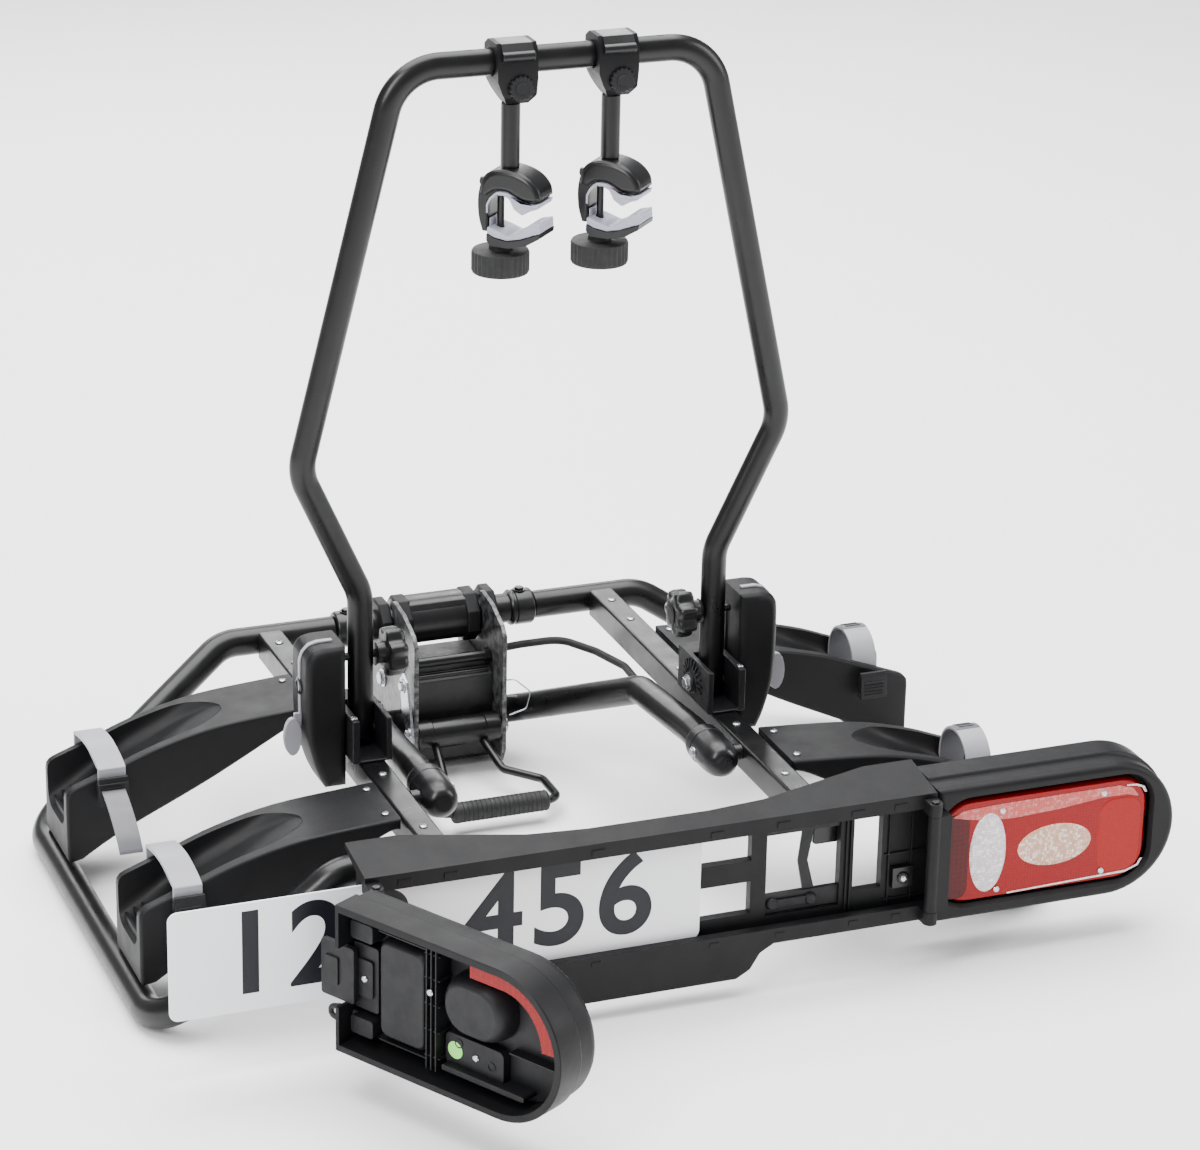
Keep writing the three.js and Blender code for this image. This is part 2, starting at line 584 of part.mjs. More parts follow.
function addBoard() {
  const { halfWidth: w, topZ, bottomZ, panelZ, rearY } = BOARD;
  const backY = -98.5;
  const frontY = -88.5;
  const lipY = -105.6;
  const lower = [
    [-w, bottomZ], [-122, bottomZ], [-108, bottomZ - 8], [-98, panelZ + 8], [-84, panelZ],
    [84, panelZ], [98, panelZ + 8], [108, bottomZ - 8], [122, bottomZ], [w, bottomZ],
  ];
  const back = cut(
    prism(outline([...lower, [w, topZ - 4], [-w, topZ - 4]]), 'y', backY, frontY),
    box(-103, 103, -120, -80, -29, 5),
    box(-103, 103, -120, -80, -85, -51),
    box(119, 196, -120, -80, -91, 12),
    box(-196, -119, -120, -80, -91, 12),
    box(210, 240, -120, -80, -79, 0),
    box(-240, -210, -120, -80, -79, 0),
  );
  const lowerLip = prism(outline([...lower, [w, -96.5], [-w, -96.5]]), 'y', rearY, lipY);
  const floor = box(-w, w, rearY, frontY, bottomZ, -102.6);
  const upperLip = box(-w, w, rearY, lipY, 6.5, topZ - 1);
  const roof = box(-w, w, rearY + 1, frontY, 11.4, topZ - 1);
  const wedge = prism(outline([
    [rearY, topZ - 6], [rearY, topZ], [-55, 31], [-55, 26.5], [-90, 16],
  ]), 'x', -w, w);
  const flangePlan = prism(outline([
    [-w, rearY - 1], [w, rearY - 1], [w, -55], [236, -55], [120, -84], [60, -89], [-60, -89],
    [-120, -84], [-236, -55], [-w, -55],
  ]), 'z', -20, 60);
  const flange = overlap(wedge, flangePlan);
  const lugs = [];
  for (const side of [-1, 1]) {
    for (const [z0, z1] of [[4, 17], [-111, -98]]) {
      const x = side * LAMP_HINGE.x;
      lugs.push(rod([x, LAMP_HINGE.y, z0], [x, LAMP_HINGE.y, z1], 7, 14));
      lugs.push(box(Math.min(x - 7, x + 7), Math.max(x - 7, x + 7), LAMP_HINGE.y, lipY, z0, z1));
    }
  }
  place('plate_board', join(back, lowerLip, floor, upperLip, roof, flange, ...lugs), finishes.blackPlastic);

  const { width, height, thickness, leftX, bottomZ: plateZ, rearY: plateY } = PLATE;
  const plate = prism(
    roundRect(leftX, plateZ, leftX + width, plateZ + height, 12),
    'y', plateY, plateY + thickness,
  );
  place('number_plate', plate, finishes.plateWhite);
}

// ---- lamp pods -------------------------------------------------------------------------------

// A D-shaped outline: straight at the inner end and round at the outer end, shrunk by inset.
function podOutline(inset, grow = 0) {
  const { innerX, roundX, middleZ, radius } = POD;
  const r = radius - inset + grow;
  const shape = new THREE.Shape();
  shape.moveTo(innerX + inset, middleZ - r);
  shape.lineTo(roundX, middleZ - r);
  shape.absarc(roundX, middleZ, r, -Math.PI / 2, Math.PI / 2, false);
  shape.lineTo(innerX + inset, middleZ + r);
  return shape;
}

// The right-hand pod's pieces, folded out behind the car.
function podPieces() {
  const { rearY, frontY, middleZ } = POD;
  const wall = 4;
  const steps = 9;
  const outer = join(
    prism(podOutline(0), 'y', rearY, -92, steps),
    prism(podOutline(0, 3), 'y', -92.2, frontY, steps),
  );
  const hollow = prism(podOutline(wall), 'y', rearY + 6, frontY + 5, steps);
  const lensHole = prism(roundRect(292.5, middleZ - 57, 523, middleZ + 58, 33), 'y', rearY - 5, rearY + 10);
  const { x, y } = LAMP_HINGE;
  const knuckle = join(
    rod([x, y, -97.6], [x, y, 3.6], 6.6, 14),
    box(x, 297, y - 5, y + 5, -97.6, 3.6),
    box(POD.innerX + 0.4, 297, y - 5, rearY + 4, -97.6, 3.6),
  );
  const shell = join(cut(outer, hollow, lensHole), knuckle);

  const lens = prism(roundRect(294, -101, 518, 4, 30), 'y', -113, -99, 5);
  const back = join(
    prism(podOutline(wall + 0.4), 'y', -98.6, -94, steps),
    prism(roundRect(400, -92, 512, -10, 30), 'y', -95, -72, 5),
    prism(roundRect(318, -96, 372, 4, 6), 'y', -95, -80),
    box(262, 300, -79, -73, -74, -18),
    box(296, 322, -95, -73, -74, -18),
  );
  const doorway = box(POD.innerX - 2, POD.innerX + wall + 2, -80, -60, -76, -16);
  return { shell: cut(shell, doorway), lens, back };
}

function addLamps() {
  const { x, y } = LAMP_HINGE;
  const pieces = podPieces();
  const right = new THREE.Group();
  rack.add(right);
  const left = new THREE.Group();
  left.position.set(-x, y, 0);
  left.rotation.z = LEFT_LAMP_FOLD;
  const leftShift = new THREE.Group();
  leftShift.position.set(x, -y, 0);
  left.add(leftShift);
  rack.add(left);
  placePair('lamp_pod', pieces.shell, finishes.blackPlastic, right, leftShift);
  placePair('lamp_lens', pieces.lens, finishes.lensRed, right, leftShift);
  placePair('lamp_back', pieces.back, finishes.darkPlastic, right, leftShift);
}

// ---- assembly ----------------------------------------------------------------------------------

addCoupling();
addLever();
addPlatformFrame();
addGutters();
addFeet();
addHoop();
addClamp('left');
addClamp('right');
addBoard();
addLamps();

const model = new THREE.Group();
model.add(rack);

export default model;
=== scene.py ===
import math

import bmesh
import bpy
from bpy.props import FloatProperty, FloatVectorProperty, IntProperty, PointerProperty, StringProperty
from mathutils import Matrix, Vector


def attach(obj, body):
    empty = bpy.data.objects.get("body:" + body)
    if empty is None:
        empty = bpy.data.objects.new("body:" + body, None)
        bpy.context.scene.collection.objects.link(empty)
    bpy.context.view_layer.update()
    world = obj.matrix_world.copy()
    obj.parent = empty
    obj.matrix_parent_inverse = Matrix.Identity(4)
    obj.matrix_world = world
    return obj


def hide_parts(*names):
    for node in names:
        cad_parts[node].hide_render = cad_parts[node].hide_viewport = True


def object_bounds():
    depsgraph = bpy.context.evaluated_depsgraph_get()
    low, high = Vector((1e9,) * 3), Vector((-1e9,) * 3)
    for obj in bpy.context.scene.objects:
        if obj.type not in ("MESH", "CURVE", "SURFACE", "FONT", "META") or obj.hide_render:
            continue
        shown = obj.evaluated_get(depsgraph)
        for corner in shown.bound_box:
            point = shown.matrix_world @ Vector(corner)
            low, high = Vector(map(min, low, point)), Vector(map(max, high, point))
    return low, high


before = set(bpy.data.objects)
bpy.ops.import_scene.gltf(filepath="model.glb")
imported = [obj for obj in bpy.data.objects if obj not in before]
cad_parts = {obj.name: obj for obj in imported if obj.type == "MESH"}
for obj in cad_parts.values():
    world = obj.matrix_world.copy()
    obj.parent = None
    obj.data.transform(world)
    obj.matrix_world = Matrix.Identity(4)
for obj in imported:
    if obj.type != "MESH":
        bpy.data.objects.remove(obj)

bl_info = {
    "name": "Tow-ball bike rack",
    "version": (1, 0, 0),
    "blender": (4, 5, 0),
    "location": "View3D > Sidebar > Bike rack",
    "description": "Fine shapes and finishes for a tow-ball bike rack over its fixed frame",
    "category": "Object",
}

# Sizes below are in millimetres, laid out from the platform bars: their tops are z = 0 and their
# rear ends y = 0, with +Y towards the car. LAYOUT brings them to the part's own frame in metres.
MM = 0.001
BALL_Y = 525
SEAT_Z = -112
LAYOUT = Matrix.Scale(MM, 4) @ Matrix.Translation((0, -BALL_Y, -SEAT_Z))
UNLAYOUT = LAYOUT.inverted()
MIRROR = Matrix.Diagonal((-1, 1, 1, 1))
SIDES = {"right": Matrix.Identity(4), "left": MIRROR}

LAMP_HINGE = Vector((281, -127, 0))
LEFT_LAMP_FOLD = math.radians(120)
LAMP_SIDES = {
    "right": Matrix.Identity(4),
    "left": Matrix.Translation((-LAMP_HINGE.x, LAMP_HINGE.y, 0))
    @ Matrix.Rotation(LEFT_LAMP_FOLD, 4, "Z")
    @ Matrix.Translation((LAMP_HINGE.x, -LAMP_HINGE.y, 0))
    @ MIRROR,
}

CLAMP_X = {"left": -44, "right": 57}
HOOP_BAR = {"y": 189, "z": 690.7}
JAW_TURN = math.radians(-45)
JAW_SIZE = 0.83
JAW_TOP = -102
STUD_S = -9.1

CAD_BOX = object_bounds()


def linear(shade):
    """An sRGB hex colour as linear red, green, blue and alpha."""
    channels = [int(shade[i:i + 2], 16) / 255 for i in (0, 2, 4)]
    return (*[c / 12.92 if c <= 0.04045 else ((c + 0.055) / 1.055) ** 2.4 for c in channels], 1.0)


# ---- what a user would change --------------------------------------------------------------------


class RackSizes(bpy.types.PropertyGroup):
    moulded_edge: FloatProperty(
        name="Moulded edge", description="Edge radius of the moulded plastic pieces",
        default=1.4 * MM, unit="LENGTH", subtype="DISTANCE")
    steel_edge: FloatProperty(
        name="Steel edge", description="Edge radius of the plates and square bars",
        default=0.8 * MM, unit="LENGTH", subtype="DISTANCE")
    strap_tooth: FloatProperty(
        name="Strap tooth pitch", description="Distance between the teeth of the wheel straps",
        default=5.0 * MM, unit="LENGTH", subtype="DISTANCE")
    digit_height: FloatProperty(
        name="Digit height", description="Height of the digits on the number plate",
        default=84 * MM, unit="LENGTH", subtype="DISTANCE")
    plate_digits: StringProperty(
        name="Plate digits", description="Digits printed on the number plate", default="123 456")
    round_sides: IntProperty(
        name="Round sides", description="Number of sides of the tubes and turned pieces",
        default=40, min=12, max=128)


def colour_of(label, what, shade):
    """A colour property whose default is an sRGB hex shade."""
    return FloatVectorProperty(
        name=label, description=what, subtype="COLOR", size=4, min=0, max=1, default=linear(shade))


class RackColours(bpy.types.PropertyGroup):
    coat: colour_of("Powder coat", "Colour of the tubes, bars and steel plates", "0a0a0b")
    plastic: colour_of("Moulded plastic", "Colour of the large plastic pieces", "0d0d0f")
    nylon: colour_of("Filled nylon", "Colour of the forks and the lamps' inner covers", "0f0f12")
    rubber: colour_of("Rubber", "Colour of the lever's grip, the cable and the clamp knobs", "101012")
    strap: colour_of("Straps", "Colour of the wheel straps and pull straps", "8e8e94")
    liner: colour_of("Liners", "Colour of the soft liners in the frame clamps", "a5a5b4")
    plate: colour_of("Plate", "Colour of the number plate", "eceef2")
    digits: colour_of("Digits", "Colour of the digits on the number plate", "14151c")
    lens: colour_of("Lens", "Colour of the red part of the lamp lenses", "8e0003")
    floor: colour_of("Floor", "Colour of the floor", "fafafa")


def sizes():
    """The sizes set in the panel."""
    return bpy.context.scene.rack_sizes


def colours():
    """The colours set in the panel."""
    return bpy.context.scene.rack_colours


# ---- finishes ------------------------------------------------------------------------------------


def add_node(tree, kind, sockets=None, **settings):
    """Add a node, set its attributes, and fill its sockets with values or links."""
    made = tree.nodes.new(kind)
    for name, value in settings.items():
        setattr(made, name, value)
    for key, value in (sockets or {}).items():
        if isinstance(value, bpy.types.NodeSocket):
            tree.links.new(value, made.inputs[key])
        else:
            made.inputs[key].default_value = value
    return made


def period(size_mm):
    """Texture scale whose pattern repeats about every size_mm."""
    return 1 / (size_mm * MM)


def band_period(size_mm):
    """Wave texture scale whose bands repeat every size_mm."""
    return 2 * math.pi / (20 * size_mm * MM)


def shaded(colour, factor):
    """A colour made lighter or darker."""
    return (*[min(1.0, channel * factor) for channel in colour[:3]], 1.0)


def start_material(name):
    """A new material with its nodes, its shader and the object's own coordinates."""
    material = bpy.data.materials.new(name)
    material.use_nodes = True
    tree = material.node_tree
    shader = tree.nodes["Principled BSDF"]
    place = add_node(tree, "ShaderNodeTexCoord").outputs["Object"]
    return material, tree, shader, place


def mottle(tree, place, colour, spread, patch_mm):
    """Cloudy light and dark patches of one colour, patch_mm across."""
    cloud = add_node(tree, "ShaderNodeTexNoise", {
        "Vector": place, "Scale": period(patch_mm), "Detail": 4.0, "Roughness": 0.6})
    blend = add_node(tree, "ShaderNodeMix", {
        0: cloud.outputs["Fac"], 6: shaded(colour, 1 - spread), 7: shaded(colour, 1 + spread)},
        data_type="RGBA")
    return blend.outputs[2]


def varied_roughness(tree, place, low, high, patch_mm):
    """Roughness that drifts between low and high over patches patch_mm across."""
    cloud = add_node(tree, "ShaderNodeTexNoise", {
        "Vector": place, "Scale": period(patch_mm), "Detail": 5.0, "Roughness": 0.65})
    span = add_node(tree, "ShaderNodeMapRange", {
        "Value": cloud.outputs["Fac"], "From Min": 0.3, "From Max": 0.7, "To Min": low, "To Max": high})
    return span.outputs["Result"]


def grain(tree, place, size_mm, depth_mm, detail=2.0):
    """A random relief. Real grain is finer than the render shows, so it is drawn coarser to show."""
    dots = add_node(tree, "ShaderNodeTexNoise", {
        "Vector": place, "Scale": period(size_mm), "Detail": detail, "Roughness": 0.55})
    relief = add_node(tree, "ShaderNodeBump", {
        "Height": dots.outputs["Fac"], "Distance": depth_mm * MM, "Strength": 1.0})
    return relief.outputs["Normal"]


def powder_coated_steel():
    # Steel tube, sprayed with polyester powder and baked: a satin film with soft orange peel.
    material, tree, shader, place = start_material("powder_coated_steel")
    tree.links.new(mottle(tree, place, colours().coat, 0.10, 45), shader.inputs["Base Color"])
    tree.links.new(varied_roughness(tree, place, 0.26, 0.36, 22), shader.inputs["Roughness"])
    tree.links.new(grain(tree, place, 1.6, 0.035), shader.inputs["Normal"])
    shader.inputs["Specular IOR Level"].default_value = 0.36
    return material


def worn_coated_plate():
    # Pressed steel plate with the same coat: rubbed bright along the cut edges that get handled.
    material, tree, shader, place = start_material("worn_coated_plate")
    coat = mottle(tree, place, colours().coat, 0.12, 30)
    edge = add_node(tree, "ShaderNodeNewGeometry").outputs["Pointiness"]
    rub = add_node(tree, "ShaderNodeTexNoise", {
        "Vector": place, "Scale": period(7), "Detail": 6.0, "Roughness": 0.7}).outputs["Fac"]
    ridge = add_node(tree, "ShaderNodeMapRange", {
        "Value": edge, "From Min": 0.53, "From Max": 0.62, "To Min": 0.0, "To Max": 1.0}).outputs["Result"]
    patch = add_node(tree, "ShaderNodeMapRange", {
        "Value": rub, "From Min": 0.42, "From Max": 0.62, "To Min": 0.0, "To Max": 0.9}).outputs["Result"]
    wear = add_node(tree, "ShaderNodeMath", {0: ridge, 1: patch}, operation="MULTIPLY").outputs[0]
    mixed = add_node(tree, "ShaderNodeMix", {0: wear, 6: coat, 7: linear("a9aaad")}, data_type="RGBA")
    tree.links.new(mixed.outputs[2], shader.inputs["Base Color"])
    tree.links.new(wear, shader.inputs["Metallic"])
    tree.links.new(varied_roughness(tree, place, 0.30, 0.44, 18), shader.inputs["Roughness"])
    tree.links.new(grain(tree, place, 1.6, 0.03), shader.inputs["Normal"])
    return material


def moulded_polypropylene():
    # Black polypropylene, injection moulded in an etched tool: a fine even grain, matt, with faint
    # cloudy patches.
    material, tree, shader, place = start_material("moulded_polypropylene")
    tree.links.new(mottle(tree, place, colours().plastic, 0.14, 70), shader.inputs["Base Color"])
    tree.links.new(varied_roughness(tree, place, 0.42, 0.56, 35), shader.inputs["Roughness"])
    tree.links.new(grain(tree, place, 0.9, 0.05, 3.0), shader.inputs["Normal"])
    shader.inputs["Specular IOR Level"].default_value = 0.2
    return material


def smooth_polypropylene():
    # The same plastic from a polished part of the tool: tighter, brighter highlights.
    material, tree, shader, place = start_material("smooth_polypropylene")
    tree.links.new(mottle(tree, place, colours().plastic, 0.10, 50), shader.inputs["Base Color"])
    tree.links.new(varied_roughness(tree, place, 0.26, 0.38, 28), shader.inputs["Roughness"])
    tree.links.new(grain(tree, place, 2.4, 0.03), shader.inputs["Normal"])
    shader.inputs["Specular IOR Level"].default_value = 0.4
    return material


def glass_filled_nylon():
    # Nylon with short glass fibres, moulded: matt, with faint flow streaks.
    material, tree, shader, place = start_material("glass_filled_nylon")
    streaks = add_node(tree, "ShaderNodeMapping", {
        "Vector": place, "Scale": (1.0, 1.0, 0.2)}).outputs["Vector"]
    tree.links.new(mottle(tree, streaks, colours().nylon, 0.2, 9), shader.inputs["Base Color"])
    tree.links.new(varied_roughness(tree, place, 0.44, 0.60, 14), shader.inputs["Roughness"])
    tree.links.new(grain(tree, place, 0.8, 0.04, 3.0), shader.inputs["Normal"])
    shader.inputs["Specular IOR Level"].default_value = 0.3
    return material


def moulded_rubber():
    # Vulcanised rubber: dull, with a coarse matt skin.
    material, tree, shader, place = start_material("moulded_rubber")
    tree.links.new(mottle(tree, place, colours().rubber, 0.15, 16), shader.inputs["Base Color"])
    tree.links.new(varied_roughness(tree, place, 0.58, 0.75, 12), shader.inputs["Roughness"])
    tree.links.new(grain(tree, place, 1.1, 0.06, 3.0), shader.inputs["Normal"])
    return material


def painted_cast_iron():
    # Sand-cast iron under black paint: a lumpy skin that breaks up the highlights.
    material, tree, shader, place = start_material("painted_cast_iron")
    tree.links.new(mottle(tree, place, colours().coat, 0.2, 12), shader.inputs["Base Color"])
    tree.links.new(varied_roughness(tree, place, 0.38, 0.55, 9), shader.inputs["Roughness"])
    tree.links.new(grain(tree, place, 2.2, 0.16, 4.0), shader.inputs["Normal"])
    return material


def zinc_plated_steel():
    # Turned or pressed steel, bright zinc plated: faint blue-grey patches and fine tool lines.
    material, tree, shader, place = start_material("zinc_plated_steel")
    tree.links.new(mottle(tree, place, linear("b4b6ba"), 0.12, 6), shader.inputs["Base Color"])
    shader.inputs["Metallic"].default_value = 1.0
    tree.links.new(varied_roughness(tree, place, 0.22, 0.38, 4), shader.inputs["Roughness"])
    tree.links.new(grain(tree, place, 0.7, 0.015), shader.inputs["Normal"])
    return material


def moulded_strap_nylon():
    # Unfilled grey nylon, moulded: slightly waxy, picks up dirt in soft patches.
    material, tree, shader, place = start_material("moulded_strap_nylon")
    tree.links.new(mottle(tree, place, colours().strap, 0.05, 14), shader.inputs["Base Color"])
    tree.links.new(varied_roughness(tree, place, 0.34, 0.48, 10), shader.inputs["Roughness"])
    tree.links.new(grain(tree, place, 1.2, 0.03), shader.inputs["Normal"])
    shader.inputs["Subsurface Weight"].default_value = 0.08
    shader.inputs["Subsurface Scale"].default_value = 0.004
    shader.inputs["IOR"].default_value = 1.53
    return material


def shadow_strap_nylon():
    # The same nylon in the darker grey of the ratchet band and buckles.
    material, tree, shader, place = start_material("shadow_strap_nylon")
    tree.links.new(mottle(tree, place, linear("55555a"), 0.07, 12), shader.inputs["Base Color"])
    tree.links.new(varied_roughness(tree, place, 0.36, 0.5, 10), shader.inputs["Roughness"])
    tree.links.new(grain(tree, place, 1.2, 0.03), shader.inputs["Normal"])
    return material


def soft_elastomer():
    # Overmoulded elastomer in the clamp jaws: silky, with level grip lines 4 mm apart.
    material, tree, shader, place = start_material("soft_elastomer")
    tree.links.new(mottle(tree, place, colours().liner, 0.05, 10), shader.inputs["Base Color"])
    tree.links.new(varied_roughness(tree, place, 0.42, 0.55, 8), shader.inputs["Roughness"])
    lines = add_node(tree, "ShaderNodeTexWave", {
        "Vector": place, "Scale": band_period(4), "Distortion": 0.3},
        wave_type="BANDS", bands_direction="Z")
    relief = add_node(tree, "ShaderNodeBump", {
        "Height": lines.outputs["Fac"], "Distance": 0.5 * MM, "Strength": 0.6})
    tree.links.new(relief.outputs["Normal"], shader.inputs["Normal"])
    shader.inputs["Subsurface Weight"].default_value = 0.1
    shader.inputs["Subsurface Scale"].default_value = 0.005
    return material


def plate_laminate():
    # White retroreflective sheet on a flat plate: a faint cell pattern under a smooth skin.
    material, tree, shader, place = start_material("plate_laminate")
    tree.links.new(mottle(tree, place, colours().plate, 0.025, 120), shader.inputs["Base Color"])
    cells = add_node(tree, "ShaderNodeTexVoronoi", {
        "Vector": place, "Scale": period(2.6), "Randomness": 0.2})
    relief = add_node(tree, "ShaderNodeBump", {
        "Height": cells.outputs["Distance"], "Distance": 0.03 * MM, "Strength": 0.5})
    tree.links.new(relief.outputs["Normal"], shader.inputs["Normal"])
    tree.links.new(varied_roughness(tree, place, 0.28, 0.38, 60), shader.inputs["Roughness"])
    return material


def plate_ink():
    # Thermal-transfer ink, rolled on: dense blue-black, slightly uneven.
    material, tree, shader, place = start_material("plate_ink")
    tree.links.new(mottle(tree, place, colours().digits, 0.12, 20), shader.inputs["Base Color"])
    tree.links.new(varied_roughness(tree, place, 0.34, 0.44, 15), shader.inputs["Roughness"])
    shader.inputs["Specular IOR Level"].default_value = 0.25
    return material


def lens_material(name, colour, cell_mm, depth_mm, rim_shade, painted_glint_share):
    # Moulded acrylic over a silvered reflector: a honeycomb of small prisms under a clear skin, with painted
    # shade towards each cell's rim and painted glints that whiten some cells at random.
    material, tree, shader, place = start_material(name)
    cells = add_node(tree, "ShaderNodeTexVoronoi", {
        "Vector": place, "Scale": period(cell_mm), "Randomness": 0.25})
    # Painted shade: each prism cell is darker towards its rim, where the prisms meet.
    ridge = add_node(tree, "ShaderNodeMapRange", {
        "Value": cells.outputs["Distance"], "From Min": 0.15, "From Max": 0.6}).outputs["Result"]
    rim_shaded_cells = add_node(tree, "ShaderNodeMix", {
        0: ridge, 6: mottle(tree, place, colour, 0.12, 22), 7: shaded(colour, 1 - rim_shade)},
        data_type="RGBA").outputs[2]
    # Painted glints: a random share of the cells is mixed towards white in the base colour.
    chance = add_node(tree, "ShaderNodeSeparateColor", {"Color": cells.outputs["Color"]}).outputs["Red"]
    painted_glint = add_node(tree, "ShaderNodeMapRange", {
        "Value": chance, "From Min": 0.55, "From Max": 1.0, "To Min": 0.0, "To Max": painted_glint_share})
    face = add_node(tree, "ShaderNodeMix", {
        0: painted_glint.outputs["Result"], 6: rim_shaded_cells, 7: linear("ffffff")}, data_type="RGBA").outputs[2]
    tree.links.new(face, shader.inputs["Base Color"])
    relief = add_node(tree, "ShaderNodeBump", {
        "Height": cells.outputs["Distance"], "Distance": depth_mm * MM, "Strength": 0.8})
    tree.links.new(relief.outputs["Normal"], shader.inputs["Normal"])
    tree.links.new(varied_roughness(tree, place, 0.08, 0.16, 30), shader.inputs["Roughness"])
    shader.inputs["Specular IOR Level"].default_value = 0.16
    shader.inputs["Coat Weight"].default_value = 0.12
    shader.inputs["Coat Roughness"].default_value = 0.05
    return material


def red_acrylic():
    # The main part of a lens, red acrylic moulded with prisms: an even red honeycomb.
    return lens_material("red_acrylic", colours().lens, 3.0, 0.2, 0.3, 0.0)


def deep_red_acrylic():
    # Thick red acrylic with nothing bright behind it: nearly maroon, with wide flat prisms.
    return lens_material("deep_red_acrylic", linear("4f0002"), 5.0, 0.15, 0.3, 0.0)


def reflex_acrylic():
    # The reflector corner: smaller corner-cube cells, brighter and more orange.
    return lens_material("reflex_acrylic", linear("ae1206"), 2.2, 0.2, 0.4, 0.0)


def clear_acrylic():
    # Clear acrylic over a bright reflector: whitish, with painted glints on single prisms.
    return lens_material("clear_acrylic", linear("efe4e8"), 3.0, 0.35, 0.42, 0.55)


def pink_acrylic():
    # A thin skin of red acrylic over white plastic: a paler, milky strip with faint painted glints.
    return lens_material("pink_acrylic", linear("c65a55"), 2.6, 0.2, 0.3, 0.1)


def amber_bulb_acrylic():
    # Clear acrylic with an amber bulb behind it: a warm tint and the same painted glints.
    return lens_material("amber_bulb_acrylic", linear("e8b79c"), 3.0, 0.35, 0.42, 0.5)


def sticker_paper():
    # Coated paper dot, printed one flat green: slightly glossy with soft fibres.
    material, tree, shader, place = start_material("sticker_paper")
    tree.links.new(mottle(tree, place, linear("8fe26b"), 0.06, 5), shader.inputs["Base Color"])
    tree.links.new(varied_roughness(tree, place, 0.35, 0.5, 4), shader.inputs["Roughness"])
    return material


def painted_floor():
    # Smooth painted studio floor.
    material, tree, shader, place = start_material("painted_floor")
    tree.links.new(mottle(tree, place, colours().floor, 0.01, 900), shader.inputs["Base Color"])
    tree.links.new(varied_roughness(tree, place, 0.6, 0.7, 500), shader.inputs["Roughness"])
    return material


def finish(make):
    """The material that make builds and is named for, built once."""
    return bpy.data.materials.get(make.__name__) or make()


# ---- shapes --------------------------------------------------------------------------------------


def bend(corners, radius, steps=10):
    """Centre line of a bent bar: straight runs joined by arcs."""
    stops = [Vector(corner) for corner in corners]
    points = [stops[0]]
    for before, corner, after in zip(stops, stops[1:], stops[2:]):
        run_in = (corner - before).normalized()
        run_out = (after - corner).normalized()
        turn = run_in.angle(run_out)
        start = corner - run_in * radius * math.tan(turn / 2)
        inward = (run_out - run_in * run_out.dot(run_in)).normalized()
        for step in range(steps + 1):
            angle = turn * step / steps
            along, across = math.sin(angle), 1 - math.cos(angle)
            points.append(start + run_in * radius * along + inward * radius * across)
    points.append(stops[-1])
    return points


def skin(rings):
    """A closed surface through rings of points, with a flat face on each end ring."""
    bm = bmesh.new()
    made = [[bm.verts.new(point) for point in ring] for ring in rings]
    for low, high in zip(made, made[1:]):
        for i in range(len(low)):
            j = (i + 1) % len(low)
            bm.faces.new((low[i], low[j], high[j], high[i]))
    bm.faces.new(list(reversed(made[0])))
    bm.faces.new(made[-1])
    return bm


def sweep(points, half_u, half_v=None, up=None, sides=None, soft_end=1.2):
    """A bar of oval section along points. half_u is its half size along up."""
    half_v = half_v or half_u
    sides = sides or sizes().round_sides
    guide = Vector(up) if up else None
    rings = []
    across = None
    last = len(points) - 1
    for i, point in enumerate(points):
        tangent = (points[min(i + 1, last)] - points[max(i - 1, 0)]).normalized()
        lead = guide or across or tangent.orthogonal()
        across = (lead - tangent * lead.dot(tangent)).normalized()
        side = tangent.cross(across)
        stations = [(0, 1)]
        if i == 0:
            stations = [(0, 1 - soft_end / half_v), (soft_end, 1)]
        elif i == last:
            stations = [(-soft_end, 1), (0, 1 - soft_end / half_v)]
        for shift, grow in stations:
            rings.append([
                point + tangent * shift
                + across * half_u * grow * math.cos(2 * math.pi * k / sides)
                + side * half_v * grow * math.sin(2 * math.pi * k / sides)
                for k in range(sides)])
    return skin(rings)


AXES = {
    "x": Matrix(((0, 0, 1, 0), (1, 0, 0, 0), (0, 1, 0, 0), (0, 0, 0, 1))),
    "y": Matrix(((1, 0, 0, 0), (0, 0, 1, 0), (0, 1, 0, 0), (0, 0, 0, 1))),
    "z": Matrix.Identity(4),
}


def lathe(profile, axis, centre=(0, 0, 0), sides=None, ripple=None):
    """A turned piece from (radius, height) pairs; ripple(angle, height) scales the radius."""
    sides = sides or sizes().round_sides
    rings = []
    for radius, height in profile:
        ring = []
        for k in range(sides):
            angle = 2 * math.pi * k / sides
            reach = radius * (ripple(angle, height) if ripple else 1)
            ring.append(Vector((reach * math.cos(angle), reach * math.sin(angle), height)))
        rings.append(ring)
    bm = skin(rings)
    bm.transform(Matrix.Translation(centre) @ AXES[axis])
    return bm


def slab(outline, axis, low, high):
    """An outline pushed along an axis. It is drawn in (y, z) for x, (x, z) for y and (x, y) for z."""
    rings = [[Vector((u, v, depth)) for u, v in outline] for depth in (low, high)]
    bm = skin(rings)
    bm.transform(AXES[axis])
    return bm


def block(x0, x1, y0, y1, z0, z1):
    """A box between two corners."""
    return slab([(x0, y0), (x1, y0), (x1, y1), (x0, y1)], "z", z0, z1)


def round_rect(u0, v0, u1, v1, radius, steps=6):
    """A rectangle with rounded corners as an outline."""
    outline = []
    corners = ((u1 - radius, v0 + radius, -90), (u1 - radius, v1 - radius, 0),
               (u0 + radius, v1 - radius, 90), (u0 + radius, v0 + radius, 180))
    for cu, cv, first in corners:
        for step in range(steps + 1):
            angle = math.radians(first + 90 * step / steps)
            outline.append((cu + radius * math.cos(angle), cv + radius * math.sin(angle)))
    return outline


def oval(cu, cv, ru, rv, steps):
    """An ellipse as an outline."""
    turn = 2 * math.pi / steps
    return [(cu + ru * math.cos(k * turn), cv + rv * math.sin(k * turn)) for k in range(steps)]


